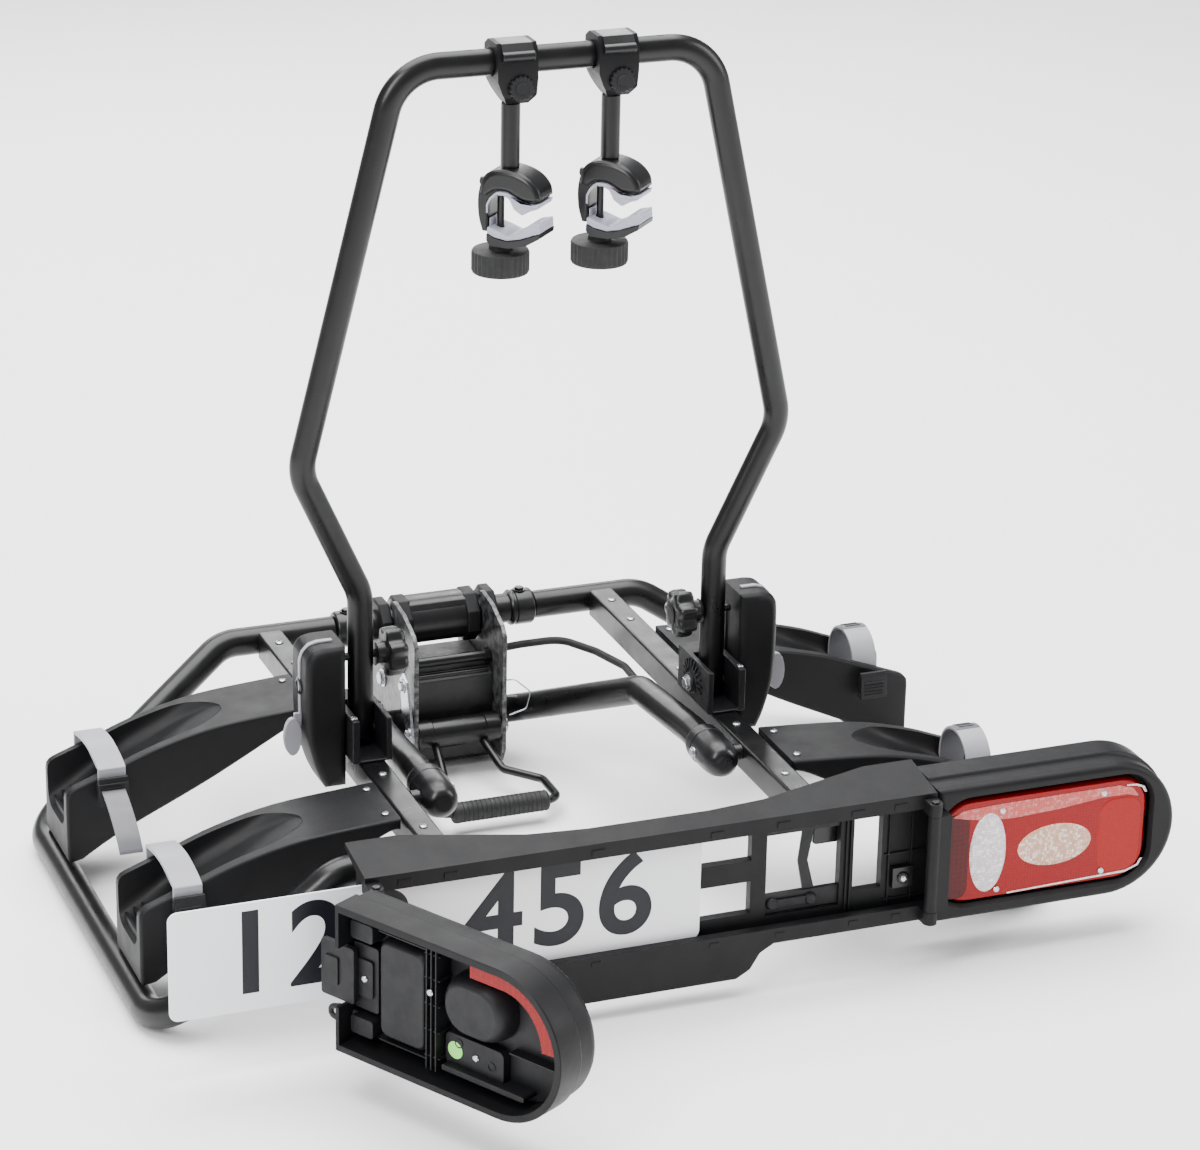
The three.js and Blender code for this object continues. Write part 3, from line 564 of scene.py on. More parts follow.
def dome(outline, axis, base, height, rings=5, inset=0.35):
    """A cushion-topped patch on an outline, rising from base by height towards -axis or +axis."""
    cu = sum(u for u, _ in outline) / len(outline)
    cv = sum(v for _, v in outline) / len(outline)
    made = [[Vector((u, v, base)) for u, v in outline]]
    for step in range(rings + 1):
        angle = math.pi / 2 * step / rings
        shrink = 1 - inset * (1 - math.cos(angle))
        level = base + height * math.sin(angle)
        made.append([Vector((cu + (u - cu) * shrink, cv + (v - cv) * shrink, level)) for u, v in outline])
    bm = skin(made)
    bm.transform(AXES[axis])
    return bm


def shrunk(outline, amount):
    """An outline moved inwards by amount."""
    count = len(outline)
    after_each = [outline[(i + 1) % count] for i in range(count)]
    area = sum(u0 * v1 - u1 * v0 for (u0, v0), (u1, v1) in zip(outline, after_each))
    turn = 1 if area > 0 else -1
    line = []
    for i, point in enumerate(outline):
        before, after = Vector(outline[i - 1]), Vector(outline[(i + 1) % count])
        here = Vector(point)
        edges = [(here - before).normalized(), (after - here).normalized()]
        normals = [Vector((-edge.y, edge.x)) * turn for edge in edges]
        middle = (normals[0] + normals[1]).normalized()
        line.append(here + middle * amount / max(0.4, middle.dot(normals[0])))
    return line


def cushion(outline, axis, low, high, radius, steps=5):
    """A slab whose rims are rounded over by radius."""
    turns = [math.pi / 2 * k / steps for k in range(steps + 1)]
    rim = [(radius * (1 - math.sin(turn)), radius * (1 - math.cos(turn))) for turn in turns]
    rings = [(low + depth, inset) for depth, inset in reversed(rim)]
    rings += [(high - depth, inset) for depth, inset in rim]
    made = [[Vector((u, v, depth)) for u, v in shrunk(outline, inset)] for depth, inset in rings]
    bm = skin(made)
    bm.transform(AXES[axis])
    return bm


def merged(*shapes):
    """Several shapes as one piece."""
    whole = bmesh.new()
    for shape in shapes:
        mesh = bpy.data.meshes.new("part")
        bmesh.ops.recalc_face_normals(shape, faces=shape.faces)
        shape.to_mesh(mesh)
        shape.free()
        whole.from_mesh(mesh)
        bpy.data.meshes.remove(mesh)
    return whole


def carve(body, tool, operation="DIFFERENCE"):
    """The boolean of two closed shapes."""
    pair = []
    for shape in (body, tool):
        bmesh.ops.recalc_face_normals(shape, faces=shape.faces)
        mesh = bpy.data.meshes.new("carve")
        shape.to_mesh(mesh)
        shape.free()
        obj = bpy.data.objects.new("carve", mesh)
        bpy.context.scene.collection.objects.link(obj)
        pair.append(obj)
    step = pair[0].modifiers.new("carve", "BOOLEAN")
    step.operation = operation
    step.solver = "EXACT"
    step.object = pair[1]
    mesh = baked(pair[0])
    result = bmesh.new()
    result.from_mesh(mesh)
    bpy.data.meshes.remove(mesh)
    for obj in pair:
        spare = obj.data
        bpy.data.objects.remove(obj)
        bpy.data.meshes.remove(spare)
    return result


def baked(obj):
    """A new mesh with obj's modifiers applied."""
    graph = bpy.context.evaluated_depsgraph_get()
    return bpy.data.meshes.new_from_object(obj.evaluated_get(graph))


def cad_shape(node, whole_faces=True):
    """The frame's own shape for a node, in the layout's millimetres, with its flat faces whole or not."""
    bm = bmesh.new()
    bm.from_mesh(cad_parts[node].data)
    bm.transform(UNLAYOUT)
    bmesh.ops.remove_doubles(bm, verts=bm.verts, dist=0.01)
    if whole_faces:
        bmesh.ops.dissolve_limit(bm, angle_limit=math.radians(0.6), verts=bm.verts, edges=bm.edges)
    return bm


def add_piece(name, bm, make, body, slot, replaces=(), move=None, edge=0.0, segments=2,
              edge_angle=32, smooth_angle=38):
    """Turn a shape into a piece: round its edges, shade it, give it a finish and let it ride."""
    if move:
        bm.transform(move)
    bm.transform(LAYOUT)
    bmesh.ops.recalc_face_normals(bm, faces=bm.faces)
    mesh = bpy.data.meshes.new(name)
    bm.to_mesh(mesh)
    bm.free()
    obj = bpy.data.objects.new(name, mesh)
    bpy.context.scene.collection.objects.link(obj)
    if edge:
        step = obj.modifiers.new("edges", "BEVEL")
        step.width = edge
        step.segments = segments
        step.limit_method = "ANGLE"
        step.angle_limit = math.radians(edge_angle)
        step.miter_outer = "MITER_ARC"
        obj.data = baked(obj)
        obj.modifiers.clear()
        bpy.data.meshes.remove(mesh)
        obj.data.name = name
    obj.data.shade_smooth()
    obj.data.set_sharp_from_angle(angle=math.radians(smooth_angle))
    obj.data.materials.clear()
    obj.data.materials.append(finish(make))
    even = obj.modifiers.new("even_normals", "WEIGHTED_NORMAL")
    even.keep_sharp = True
    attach(obj, body)
    if replaces:
        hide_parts(*replaces)
    return obj


def refine(node, make, body, slot, edge=None, whole_faces=True, **options):
    """The frame's own shape for a node with rounded edges and a finish, in its place."""
    edge = sizes().moulded_edge if edge is None else edge
    shape = cad_shape(node, whole_faces)
    return add_piece(node + "_fine", shape, make, body, slot, [node], edge=edge, **options)


def hex_head(axis, centre, radius, height):
    """A hexagon bolt head with a chamfered face, and a washer under it."""
    sign = 1 if height > 0 else -1
    head = lathe([(radius, 0), (radius, height * 0.85), (radius * 0.9, height)], axis, centre, 6)
    washer = lathe([(radius * 1.35, -sign * 0.2), (radius * 1.35, sign * 1.2)], axis, centre, 28)
    return merged(head, washer)


def cross_screw(axis, centre, radius, height):
    """A pan-head screw with a cross recess."""
    head = lathe([(radius, 0), (radius, height * 0.4), (radius * 0.8, height * 0.85),
                  (radius * 0.4, height)], axis, centre, 24)
    arm = radius * 0.16
    reach = radius * 0.62
    low, high = sorted((height * 0.55, height * 1.4))
    slot_a = block(-arm, arm, -reach, reach, low, high)
    slot_b = block(-reach, reach, -arm, arm, low, high)
    tool = carve(slot_a, slot_b, "UNION")
    tool.transform(Matrix.Translation(centre) @ AXES[axis])
    return carve(head, tool)


# ---- coupling and lever --------------------------------------------------------------------------

CHEEK_OUTER = 52
BOLT_X = CHEEK_OUTER + 0.3
TUBE_RADIUS = 15
LATCH = (0, 484, -44)
CAM = (0, 456, -115)
GRIP = (0, 318, -143)
TILT = (147, 96, -9)
BEAM = (0, 535, -15)


def build_coupling():
    """Cheeks, ball housing, latch bar and the two tilt arms with their caps."""
    for side, move in SIDES.items():
        refine("coupling_cheek_" + side, worn_coated_plate, "coupling", "coated_steel",
               edge=sizes().steel_edge)
        bolts = merged(
            hex_head("x", (BOLT_X, 548, -84), 7.5, 5.5),
            hex_head("x", (BOLT_X, 560, -132), 7.5, 5.5),
            hex_head("x", (BOLT_X, 484, -44), 6.5, 5),
            hex_head("x", (BOLT_X, 456, -115), 8, 4.5))
        add_piece("cheek_bolts_" + side, bolts, zinc_plated_steel, "coupling", "zinc_steel", move=move,
                  edge=0.4 * MM)
        arm = bend([(52.3, 487, -112), (78, 487, -112), (144, 292, -19), (TILT[0], 160, TILT[2]),
                    (TILT[0], TILT[1] - 3, TILT[2])], 34)
        add_piece("tilt_arm_tube_" + side, sweep(arm, TUBE_RADIUS), powder_coated_steel, "coupling",
                  "coated_steel", ["tilt_arm_" + side], move)
        cap = lathe([(7, -24), (11, -23), (15.5, -19.5), (18, -13), (19.2, -5), (19.5, 6), (19.5, 31),
                     (19.1, 34), (18, 36.4), (15.6, 37)], "y", TILT)
        pin = lathe([(8, 16), (8, 26.2)], "x", TILT, 28)
        collar = lathe([(19.5, 20), (20.1, 20.6), (20.1, 23.4), (19.5, 24)], "y", TILT)
        add_piece("tilt_cap_cover_" + side, merged(cap, pin, collar), smooth_polypropylene, "coupling",
                  "black_plastic", ["tilt_cap_" + side], move, edge=0.5 * MM)
        screw = hex_head("x", (TILT[0] - 19.3, TILT[1] + 12, TILT[2]), 4.6, -3.4)
        add_piece("tilt_cap_screw_" + side, screw, zinc_plated_steel, "coupling", "zinc_steel", move=move,
                  edge=0.3 * MM)
    refine("ball_housing", painted_cast_iron, "coupling", "cast_iron", edge=3.0 * MM, segments=4)
    refine("ball_jaw", zinc_plated_steel, "ball_jaw", "zinc_steel", edge=0.8 * MM)
    bar = sweep([Vector((-46.7, 484, -44)), Vector((46.7, 484, -44))], 5.5)
    nuts = [lathe([(8, at), (8, at + 6)], "x", LATCH, 6) for at in (-46, 40)]
    add_piece("latch_rod", merged(bar, *nuts), powder_coated_steel, "coupling", "coated_steel",
              ["latch_bar"], edge=0.4 * MM)
    cover = slab(round_rect(486, -104, 500, -60, 6), "x", -38, 38)
    rib = slab(round_rect(476, -61, 516, -56, 2), "x", -44, 44)
    add_piece("housing_cover", merged(cover, rib), smooth_polypropylene, "coupling", "black_plastic",
              edge=1.5 * MM, segments=3)
    link = slab([(444, -46), (456, -40), (466, -50), (458, -86), (436, -112), (424, -108), (430, -84)],
                "x", -61, -58)
    add_piece("tilt_link", link, zinc_plated_steel, "coupling", "zinc_steel", edge=0.6 * MM)
    ends = merged(hex_head("x", (-61, 454, -54), 5.5, -4), hex_head("x", (-61, 434, -102), 5.5, -4))
    add_piece("tilt_link_bolts", ends, zinc_plated_steel, "coupling", "zinc_steel", edge=0.3 * MM)
    wire = bend([(53, 452, -62), (62, 446, -60), (78, 440, -74), (72, 438, -92), (53, 440, -98)], 6, 8)
    add_piece("safety_wire", sweep(wire, 0.8, sides=10), zinc_plated_steel, "coupling", "zinc_steel")


def build_lever():
    """The wire lever that turns the coupling's cam, and its grip."""
    cam = lathe([(14.8, -46.7), (16, -45.4), (16, -30), (15, -29), (15, 29), (16, 30), (16, 45.4),
                 (14.8, 46.7)], "x", CAM)
    line = bend([(26, 450, -124), (33, 401, -141), (66, 368, -143), (66, 318, -143), (-66, 318, -143),
                 (-66, 368, -143), (-33, 401, -141), (-26, 450, -124)], 13, 8)
    add_piece("lever_wire", merged(cam, sweep(line, 4.5, sides=20)), powder_coated_steel, "lever",
              "coated_steel", ["lever_loop"])
    grooves = []
    for step in range(-9, 10):
        at = step * 5
        grooves += [(11, at - 1.9), (11, at + 1.1), (10.4, at + 1.6), (10.4, at + 2.6)]
    profile = [(8.2, -53), (10, -52), (11, -50), *grooves, (11, 50), (10, 52), (8.2, 53)]
    add_piece("lever_sleeve", lathe(profile, "x", GRIP), moulded_rubber, "lever", "rubber",
              ["lever_grip"])


# ---- platform tubes and bars ---------------------------------------------------------------------

BAR = {"x": 187, "half": 13.5, "height": 30, "rear": -85.5, "front": 519.6}


def build_frame():
    """Cross beam, side loops, square bars and the lamp cable."""
    sleeve = [(16.4, -112), (18.4, -111), (19.5, -109), (19.5, -92), (18.4, -91), (18.4, -89),
              (19.5, -88), (19.5, -86.5), (18, -84.5), (16, -84), (16, -48), (24.6, -46.4), (26, -45)]
    drum = [(26, -38), (25.2, -37.4), (25.2, 37.4), (26, 38)]
    profile = sleeve + drum + [(r, -x) for r, x in reversed(sleeve)]
    add_piece("beam_drum", lathe(profile, "x", BEAM, 56), smooth_polypropylene, "platform", "black_plastic",
              ["cross_beam"])
    collars = []
    for a, b in ((30, 46), (53, 66), (-46, -30), (-66, -53)):
        collars.append(lathe([(27.5, a), (29.5, a + 1.5), (29.5, b - 1.5), (27.5, b)], "x", BEAM, 8))
    for collar in collars:
        collar.transform(Matrix.Translation(BEAM) @ Matrix.Rotation(math.pi / 8, 4, "X")
                         @ Matrix.Translation([-c for c in BEAM]))
    add_piece("beam_collars", merged(*collars), moulded_polypropylene, "platform", "black_plastic",
              edge=1.4 * MM, segments=3)
    crest = slab([(516, 2), (520, 8.5), (527, 11.6), (543, 11.6), (550, 8.5), (554, 2)], "x", -33, 33)
    add_piece("beam_crest", crest, smooth_polypropylene, "platform", "black_plastic", edge=1.6 * MM,
              segments=3)
    for side, move in SIDES.items():
        line = bend([(112.3, 535, -15), (236, 535, -15), (460, 434, -150), (460, -22, -150),
                     (285, -22, -15), (200.8, -22, -15)], 48, 14)
        add_piece("loop_tube_" + side, sweep(line, TUBE_RADIUS), powder_coated_steel, "platform",
                  "coated_steel", ["side_loop_" + side], move)
        low, high = BAR["x"] - BAR["half"], BAR["x"] + BAR["half"]
        section = round_rect(low, -BAR["height"], high, 0, 3.2, 5)
        bar = slab(section, "y", BAR["rear"] + 2, BAR["front"] - 2)
        plugs = [slab(round_rect(low + 0.8, -BAR["height"] + 0.8, high - 0.8, -0.8, 2.8, 5), "y", a, b)
                 for a, b in ((BAR["rear"], BAR["rear"] + 2.4), (BAR["front"] - 2.4, BAR["front"]))]
        add_piece("bar_tube_" + side, merged(bar, *plugs), powder_coated_steel, "platform", "coated_steel",
                  ["platform_bar_" + side], move)
        rivets = merged(*[cross_screw("z", (BAR["x"], y, 0), 4.2, 1.9)
                          for y in (-62, -30, 16, 140, 290, 430, 486)])
        add_piece("bar_screws_" + side, rivets, zinc_plated_steel, "platform", "zinc_steel", move=move)
        bolt = hex_head("z", (98, 535, 4.2), 5.2, 3.6)
        add_piece("sleeve_bolt_" + side, bolt, powder_coated_steel, "platform", "coated_steel", move=move,
                  edge=0.3 * MM)
        pads = [slab([(455, -166), (465, -166), (470, -163), (450, -163)], "y", y - 14, y + 14)
                for y in (60, 350)]
        for pad in pads:
            pad.transform(Matrix.Translation((0, 0, 1.2)))
        add_piece("loop_foot_pads_" + side, merged(*pads), moulded_rubber, "platform", "rubber", move=move,
                  edge=0.4 * MM)
    route = bend([(62, 521, -56), (96, 519, -53), (138, 512, -50), (160, 462, -47), (171.2, 405, -43),
                  (168.6, 366, -42)], 30, 8)
    cable = add_piece("lamp_lead", sweep(route, 4.2, sides=20, soft_end=0.4), moulded_rubber, "platform",
                      "rubber", ["lamp_cable"])


# ---- gutters and straps --------------------------------------------------------------------------

GUTTER_ROWS = {"rear": 34, "front": 312}
GUTTER_WIDTH = 90
STRAP_X = 415
STRAP_WIDTH = 28
STRAP_BASE = -35.8


def smooth_line(points, steps=5):
    """A rounder line through the given points."""
    line = []
    for i in range(len(points) - 1):
        p0, p1 = points[max(i - 1, 0)], points[i]
        p2, p3 = points[i + 1], points[min(i + 2, len(points) - 1)]
        for step in range(steps):
            t = step / steps
            line.append(tuple(
                0.5 * (2 * b + (c - a) * t + (2 * a - 5 * b + 4 * c - d) * t * t
                       + (3 * b - 3 * c + d - a) * t ** 3)
                for a, b, c, d in zip(p0, p1, p2, p3)))
    line.append(points[-1])
    return line


def level_at(line, x):
    """Height of a line of (x, z) points at x."""
    for (x0, z0), (x1, z1) in zip(line, line[1:]):
        if x <= x1:
            return z0 + (z1 - z0) * (x - x0) / (x1 - x0)
    return line[-1][1]


def gutter_shape(rear):
    """A thick-walled gutter whose channel starts as the bowl of a spoon and runs out at the end."""
    top = smooth_line([(203, 2), (222, 1), (303, -6), (363, -20), (408, -36.5), (452, -53)])
    tip = [(457, -55.6), (460.2, -59.5), (461, -65)]
    under = smooth_line([(446, -132), (402, -106), (310, -62), (223, -15), (203, -10)])
    body = cushion([*top, *tip, (461, -130), (459, -134.2), *under], "y", rear, rear + GUTTER_WIDTH, 3.4)
    middle = rear + GUTTER_WIDTH / 2
    floor = smooth_line([(288, -5), (306, -13), (350, -34), (400, -60), (430, -80), (476, -110)])
    rings = []
    for step in range(36):
        x = 288.5 + (476 - 288.5) * (step / 35) ** 1.4
        half = 38.5 * math.sqrt(max(0.02, 1 - max(0, (338 - x) / 50) ** 2))
        deep = level_at(floor, x)
        foot = half * 0.86
        corner = min(15, foot * 0.55)
        side = [(foot - corner * (1 - math.sin(turn)), deep + corner * (1 - math.cos(turn)))
                for turn in (k * math.pi / 8 for k in range(5))]
        profile = [*side, (half + 2.0, 44)]
        ring = [(u, v) for u, v in profile] + [(-u, v) for u, v in reversed(profile)]
        rings.append([Vector((x, middle + u, v)) for u, v in ring])
    return carve(body, skin(rings))


def build_gutters():
    """The four wheel gutters with their end ribs and screws."""
    for row, rear in GUTTER_ROWS.items():
        for side, move in SIDES.items():
            name = f"{row}_gutter_{side}"
            add_piece(name + "_tray", gutter_shape(rear), moulded_polypropylene, "platform", "black_plastic",
                      [name], move, edge=1.6 * MM, segments=3, edge_angle=42)
            ribs = []
            for x in (438, 446, 454):
                drop = 0.55 * (x - 395)
                rib = [(x, -58 - drop), (x + 2.4, -59 - drop), (x + 2.4, -66 - drop), (x, -66 - drop)]
                ribs.append(slab(rib, "y", rear + 8, rear + GUTTER_WIDTH - 8))
            add_piece(name + "_ribs", merged(*ribs), moulded_polypropylene, "platform", "black_plastic",
                      move=move)
            screws = merged(*[cross_screw("z", (214, rear + y, 1.9), 3.8, 1.7) for y in (16, 74)])
            add_piece(name + "_screws", screws, zinc_plated_steel, "platform", "zinc_steel", move=move)


def curve_through(ends, steps=16):
    """Points along a cubic curve with the four given control points."""
    line = []
    for k in range(steps + 1):
        t = k / steps
        line.append(tuple((1 - t) ** 3 * a + 3 * t * (1 - t) ** 2 * b + 3 * t * t * (1 - t) * c + t ** 3 * d
                          for a, b, c, d in zip(*ends)))
    return line


def strap_line(rear, standing, inside):
    """Line of a strap over a gutter as (y, z) points, on its outer or its inner side."""
    middle = rear + GUTTER_WIDTH / 2
    if standing:
        reach, crown, shoulder = 33 - inside, -10 - inside, -46
        rise = 0.56 * 36
        half = [(-reach, -68)] + curve_through([(-reach, shoulder), (-reach, shoulder + rise), (-18, crown),
                                                (0, crown)])
    else:
        reach, crown = GUTTER_WIDTH / 2 + 5 - inside, STRAP_BASE + 11 - inside
        half = [(-reach, STRAP_BASE - 22)] + curve_through([
            (-reach, STRAP_BASE + 2), (-reach, STRAP_BASE + 5 - 1.5 * inside), (-20, crown), (0, crown)])
    return ([(middle + y, z) for y, z in half]
            + [(middle - y, z) for y, z in reversed(half[:-1])])


def strap_shape(rear, standing):
    """A wheel strap's band, between its outer and its inner line."""
    outer = strap_line(rear, standing, 0)
    inner = strap_line(rear, standing, 3.4)
    half = STRAP_WIDTH / 2
    return slab([*outer, *reversed(inner)], "x", STRAP_X - half, STRAP_X + half)


def strap_teeth(rear):
    """A row of ratchet teeth along the front half of a standing strap, on a raised track."""
    line = [Vector((0, y, z)) for y, z in strap_line(rear, True, 0)]
    line = line[len(line) // 2 - 1:]
    track_half = STRAP_WIDTH / 2 - 0.6
    pitch = sizes().strap_tooth / MM
    teeth = []
    travelled = 0.0
    due = 4.0
    for a, b in zip(line, line[1:]):
        run = (b - a).length
        along = (b - a).normalized()
        out = Vector((0, -along.z, along.y))
        turn = Matrix(((1, 0, 0, 0), (0, along.y, out.y, 0), (0, along.z, out.z, 0), (0, 0, 0, 1)))
        track = block(-track_half, track_half, -0.3, run + 0.3, -4.2, 0.5)
        track.transform(Matrix.Translation((STRAP_X, a.y, a.z)) @ turn)
        teeth.append(track)
        while travelled + run >= due:
            at = a.lerp(b, (due - travelled) / run)
            tooth = slab([(0, 0.2), (pitch * 0.55, 0.2), (0, 1.5)], "x", -8.5, 8.5)
            tooth.transform(Matrix.Translation((STRAP_X, at.y, at.z)) @ turn)
            teeth.append(tooth)
            due += pitch
        travelled += run
    return merged(*teeth)


def build_straps():
    """Wheel straps, teeth on the standing ones, buckles, and the loose strap end on the left."""
    for row, rear in GUTTER_ROWS.items():
        for side, move in SIDES.items():
            name = f"{row}_strap_{side}"
            standing = side == "right"
            add_piece(name + "_band", strap_shape(rear, standing), moulded_strap_nylon, "platform",
                      "grey_plastic", [name], move, edge=0.7 * MM)
            if standing:
                add_piece(name + "_teeth", strap_teeth(rear), shadow_strap_nylon, "platform",
                          "grey_plastic", move=move)
            buckle = f"{row}_buckle_{side}"
            y = rear - 5.3
            lever = slab([(y - 8.6, -70), (y, -70), (y, -46), (y - 2, -41), (y - 5.4, -41), (y - 8, -48)],
                         "x", STRAP_X - 15, STRAP_X + 15)
            ridges = [block(STRAP_X - 11, STRAP_X + 11, y - 9.4, y - 8, -66 + 3.6 * k, -64.6 + 3.6 * k)
                      for k in range(5)]
            pin = lathe([(2.4, -16.6), (2.4, 16.6)], "x", (STRAP_X, y - 4.5, -66), 20)
            add_piece(buckle + "_lever", merged(lever, *ridges, pin), glass_filled_nylon, buckle,
                      "grey_plastic", [buckle], move, edge=0.8 * MM)
    tail = smooth_line([(300, -52), (286, -57), (266, -66), (246, -79), (234, -91)])
    under = [(y - 0.6, z - 2.4) for y, z in tail]
    add_piece("loose_strap_end", slab([*tail, *reversed(under)], "x", -428, -404), shadow_strap_nylon,
              "platform", "grey_plastic", edge=0.6 * MM)
    clip = slab([(298, -46), (308, -46), (309, -62), (299, -64)], "x", -431, -401)
    add_piece("loose_strap_clip", clip, glass_filled_nylon, "platform", "dark_plastic", edge=1.2 * MM)


# ---- feet of the hoop ----------------------------------------------------------------------------

FOLD = (167.5, 210, 20)
SHIELD_SCREW_X = 204.5


def build_feet():
    """Forks that hold the hoop, the tall shields beside them and their pull straps."""
    for side, move in SIDES.items():
        refine("hinge_fork_" + side, glass_filled_nylon, "platform", "dark_plastic", edge=1.6 * MM,
               segments=3)
        rim = smooth_line([(230, -30), (238, -12), (246, 18), (249, 50), (249, 98), (246.4, 110), (240, 116),
                           (230, 118)])
        face = cushion([(208.5, -30), *rim, (208.5, 118)], "y", 184, 240, 8)
        hollow = cushion([(y, z) for y, z in ((200, -8), (200, 96), (225, 96), (225, -8))], "x", 202, 210, 2)
        add_piece("shield_cover_" + side, carve(face, hollow), moulded_polypropylene, "platform",
                  "black_plastic", ["shield_" + side], move, smooth_angle=50)
        fins = []
        for step in range(13):
            angle = math.radians(-10 + 200 * step / 12)
            fin = block(-1, 1, 0, 2.2, 15, 25)
            fin.transform(Matrix.Translation(FOLD) @ Matrix.Rotation(angle - math.pi / 2, 4, "X")
                          @ Matrix.Translation((-1, 0, 0)))
            fins.append(fin)
        add_piece("fork_fins_" + side, merged(*fins), glass_filled_nylon, "platform", "dark_plastic",
                  move=move, edge=0.4 * MM)
        refine("pull_strap_" + side, moulded_strap_nylon, "platform", "grey_plastic", edge=0.8 * MM)
        heads = merged(
            hex_head("x", (162.4, 210, 20), 6.4, -4.6),
            cross_screw("z", (SHIELD_SCREW_X, 176, 46.2), 3.6, 1.8))
        add_piece("fork_screws_" + side, heads, zinc_plated_steel, "platform", "zinc_steel", move=move,
                  edge=0.3 * MM)
        button = lathe([(9, 0), (9, 1.2), (7.6, 2.2), (5.8, 2.4), (5.2, 1.4)], "x", (249, 210, 74), 36)
        add_piece("shield_button_" + side, button, smooth_polypropylene, "platform", "black_plastic",
                  move=move)


# ---- hoop and star knobs -------------------------------------------------------------------------

STAR_KNOB = (0, 210, 98)
STAR_RADIUS = 25
STAR_LOBES = 7
STAR_LOBE_DEPTH = 2.5


def star_lobes(angle, height):
    """How far a star knob reaches at an angle, as a share of its full radius."""
    wave = STAR_LOBE_DEPTH * math.cos(STAR_LOBES * angle)
    return (STAR_RADIUS - STAR_LOBE_DEPTH + wave) / STAR_RADIUS


def build_hoop():
    """The bent oval hoop and the star knobs that lock it upright."""
    leg = [(187, 210, 12), (187, 210, 163), (249, 204, 298), (156.4, 189, 690.7)]
    corners = leg + [(-x, y, z) for x, y, z in reversed(leg)]
    line = bend(corners, 52, 16)
    add_piece("hoop_tube", sweep(line, 10, 13, up=(0, 1, 0), sides=48), powder_coated_steel, "hoop",
              "coated_steel", ["hoop"])
    for side, move in SIDES.items():
        head = lathe([(8, 141.8), (16, 142), (21, 143), (24, 145.4), (25, 149), (25, 158), (24, 161.4),
                      (21, 162.9), (12, 162.95)], "x", STAR_KNOB, 112, star_lobes)
        neck = lathe([(12, 161), (11, 164), (11, 171), (12.6, 172.6)], "x", STAR_KNOB, 36)
        hub = lathe([(6, 142.6), (9.5, 142), (10, 140.8), (6.5, 140.4)], "x", STAR_KNOB, 32)
        stud = lathe([(4, 171), (4, 205.5)], "x", STAR_KNOB, 24)
        add_piece("star_knob_head_" + side, merged(head, neck, hub, stud), smooth_polypropylene,
                  "star_knob_" + side, "black_plastic", ["star_knob_" + side], move)


# ---- frame clamps --------------------------------------------------------------------------------

RATCHET = (3, 0, -22)
RATCHET_TEETH = 16
KNOB_GRIP = {"ribs": 30, "middle": -196.5, "half": 9}


def ratchet_cogs(angle, height):
    """Square teeth round the rim of a clamp's ratchet."""
    return 1 + 0.05 * (1 if math.sin(RATCHET_TEETH * angle) > 0 else -1)


def knob_ribs(angle, height):
    """Round ribs on the straight part of a clamp knob."""
    on_grip = abs(height - KNOB_GRIP["middle"]) < KNOB_GRIP["half"]
    return 1 - (0.022 * (1 + math.cos(KNOB_GRIP["ribs"] * angle)) if on_grip else 0)


def clamp_places(side):
    """Where a clamp's collar hangs on the hoop, and the same place turned for its jaws."""
    group = Matrix.Translation((CLAMP_X[side], HOOP_BAR["y"], HOOP_BAR["z"]))
    return group, group @ Matrix.Rotation(JAW_TURN, 4, "Z")


def jaw_line(points):
    """A jaw outline in (s, z), brought to size below the end of the rod."""
    return [(s * JAW_SIZE, JAW_TOP + (z - JAW_TOP) * JAW_SIZE) for s, z in points]


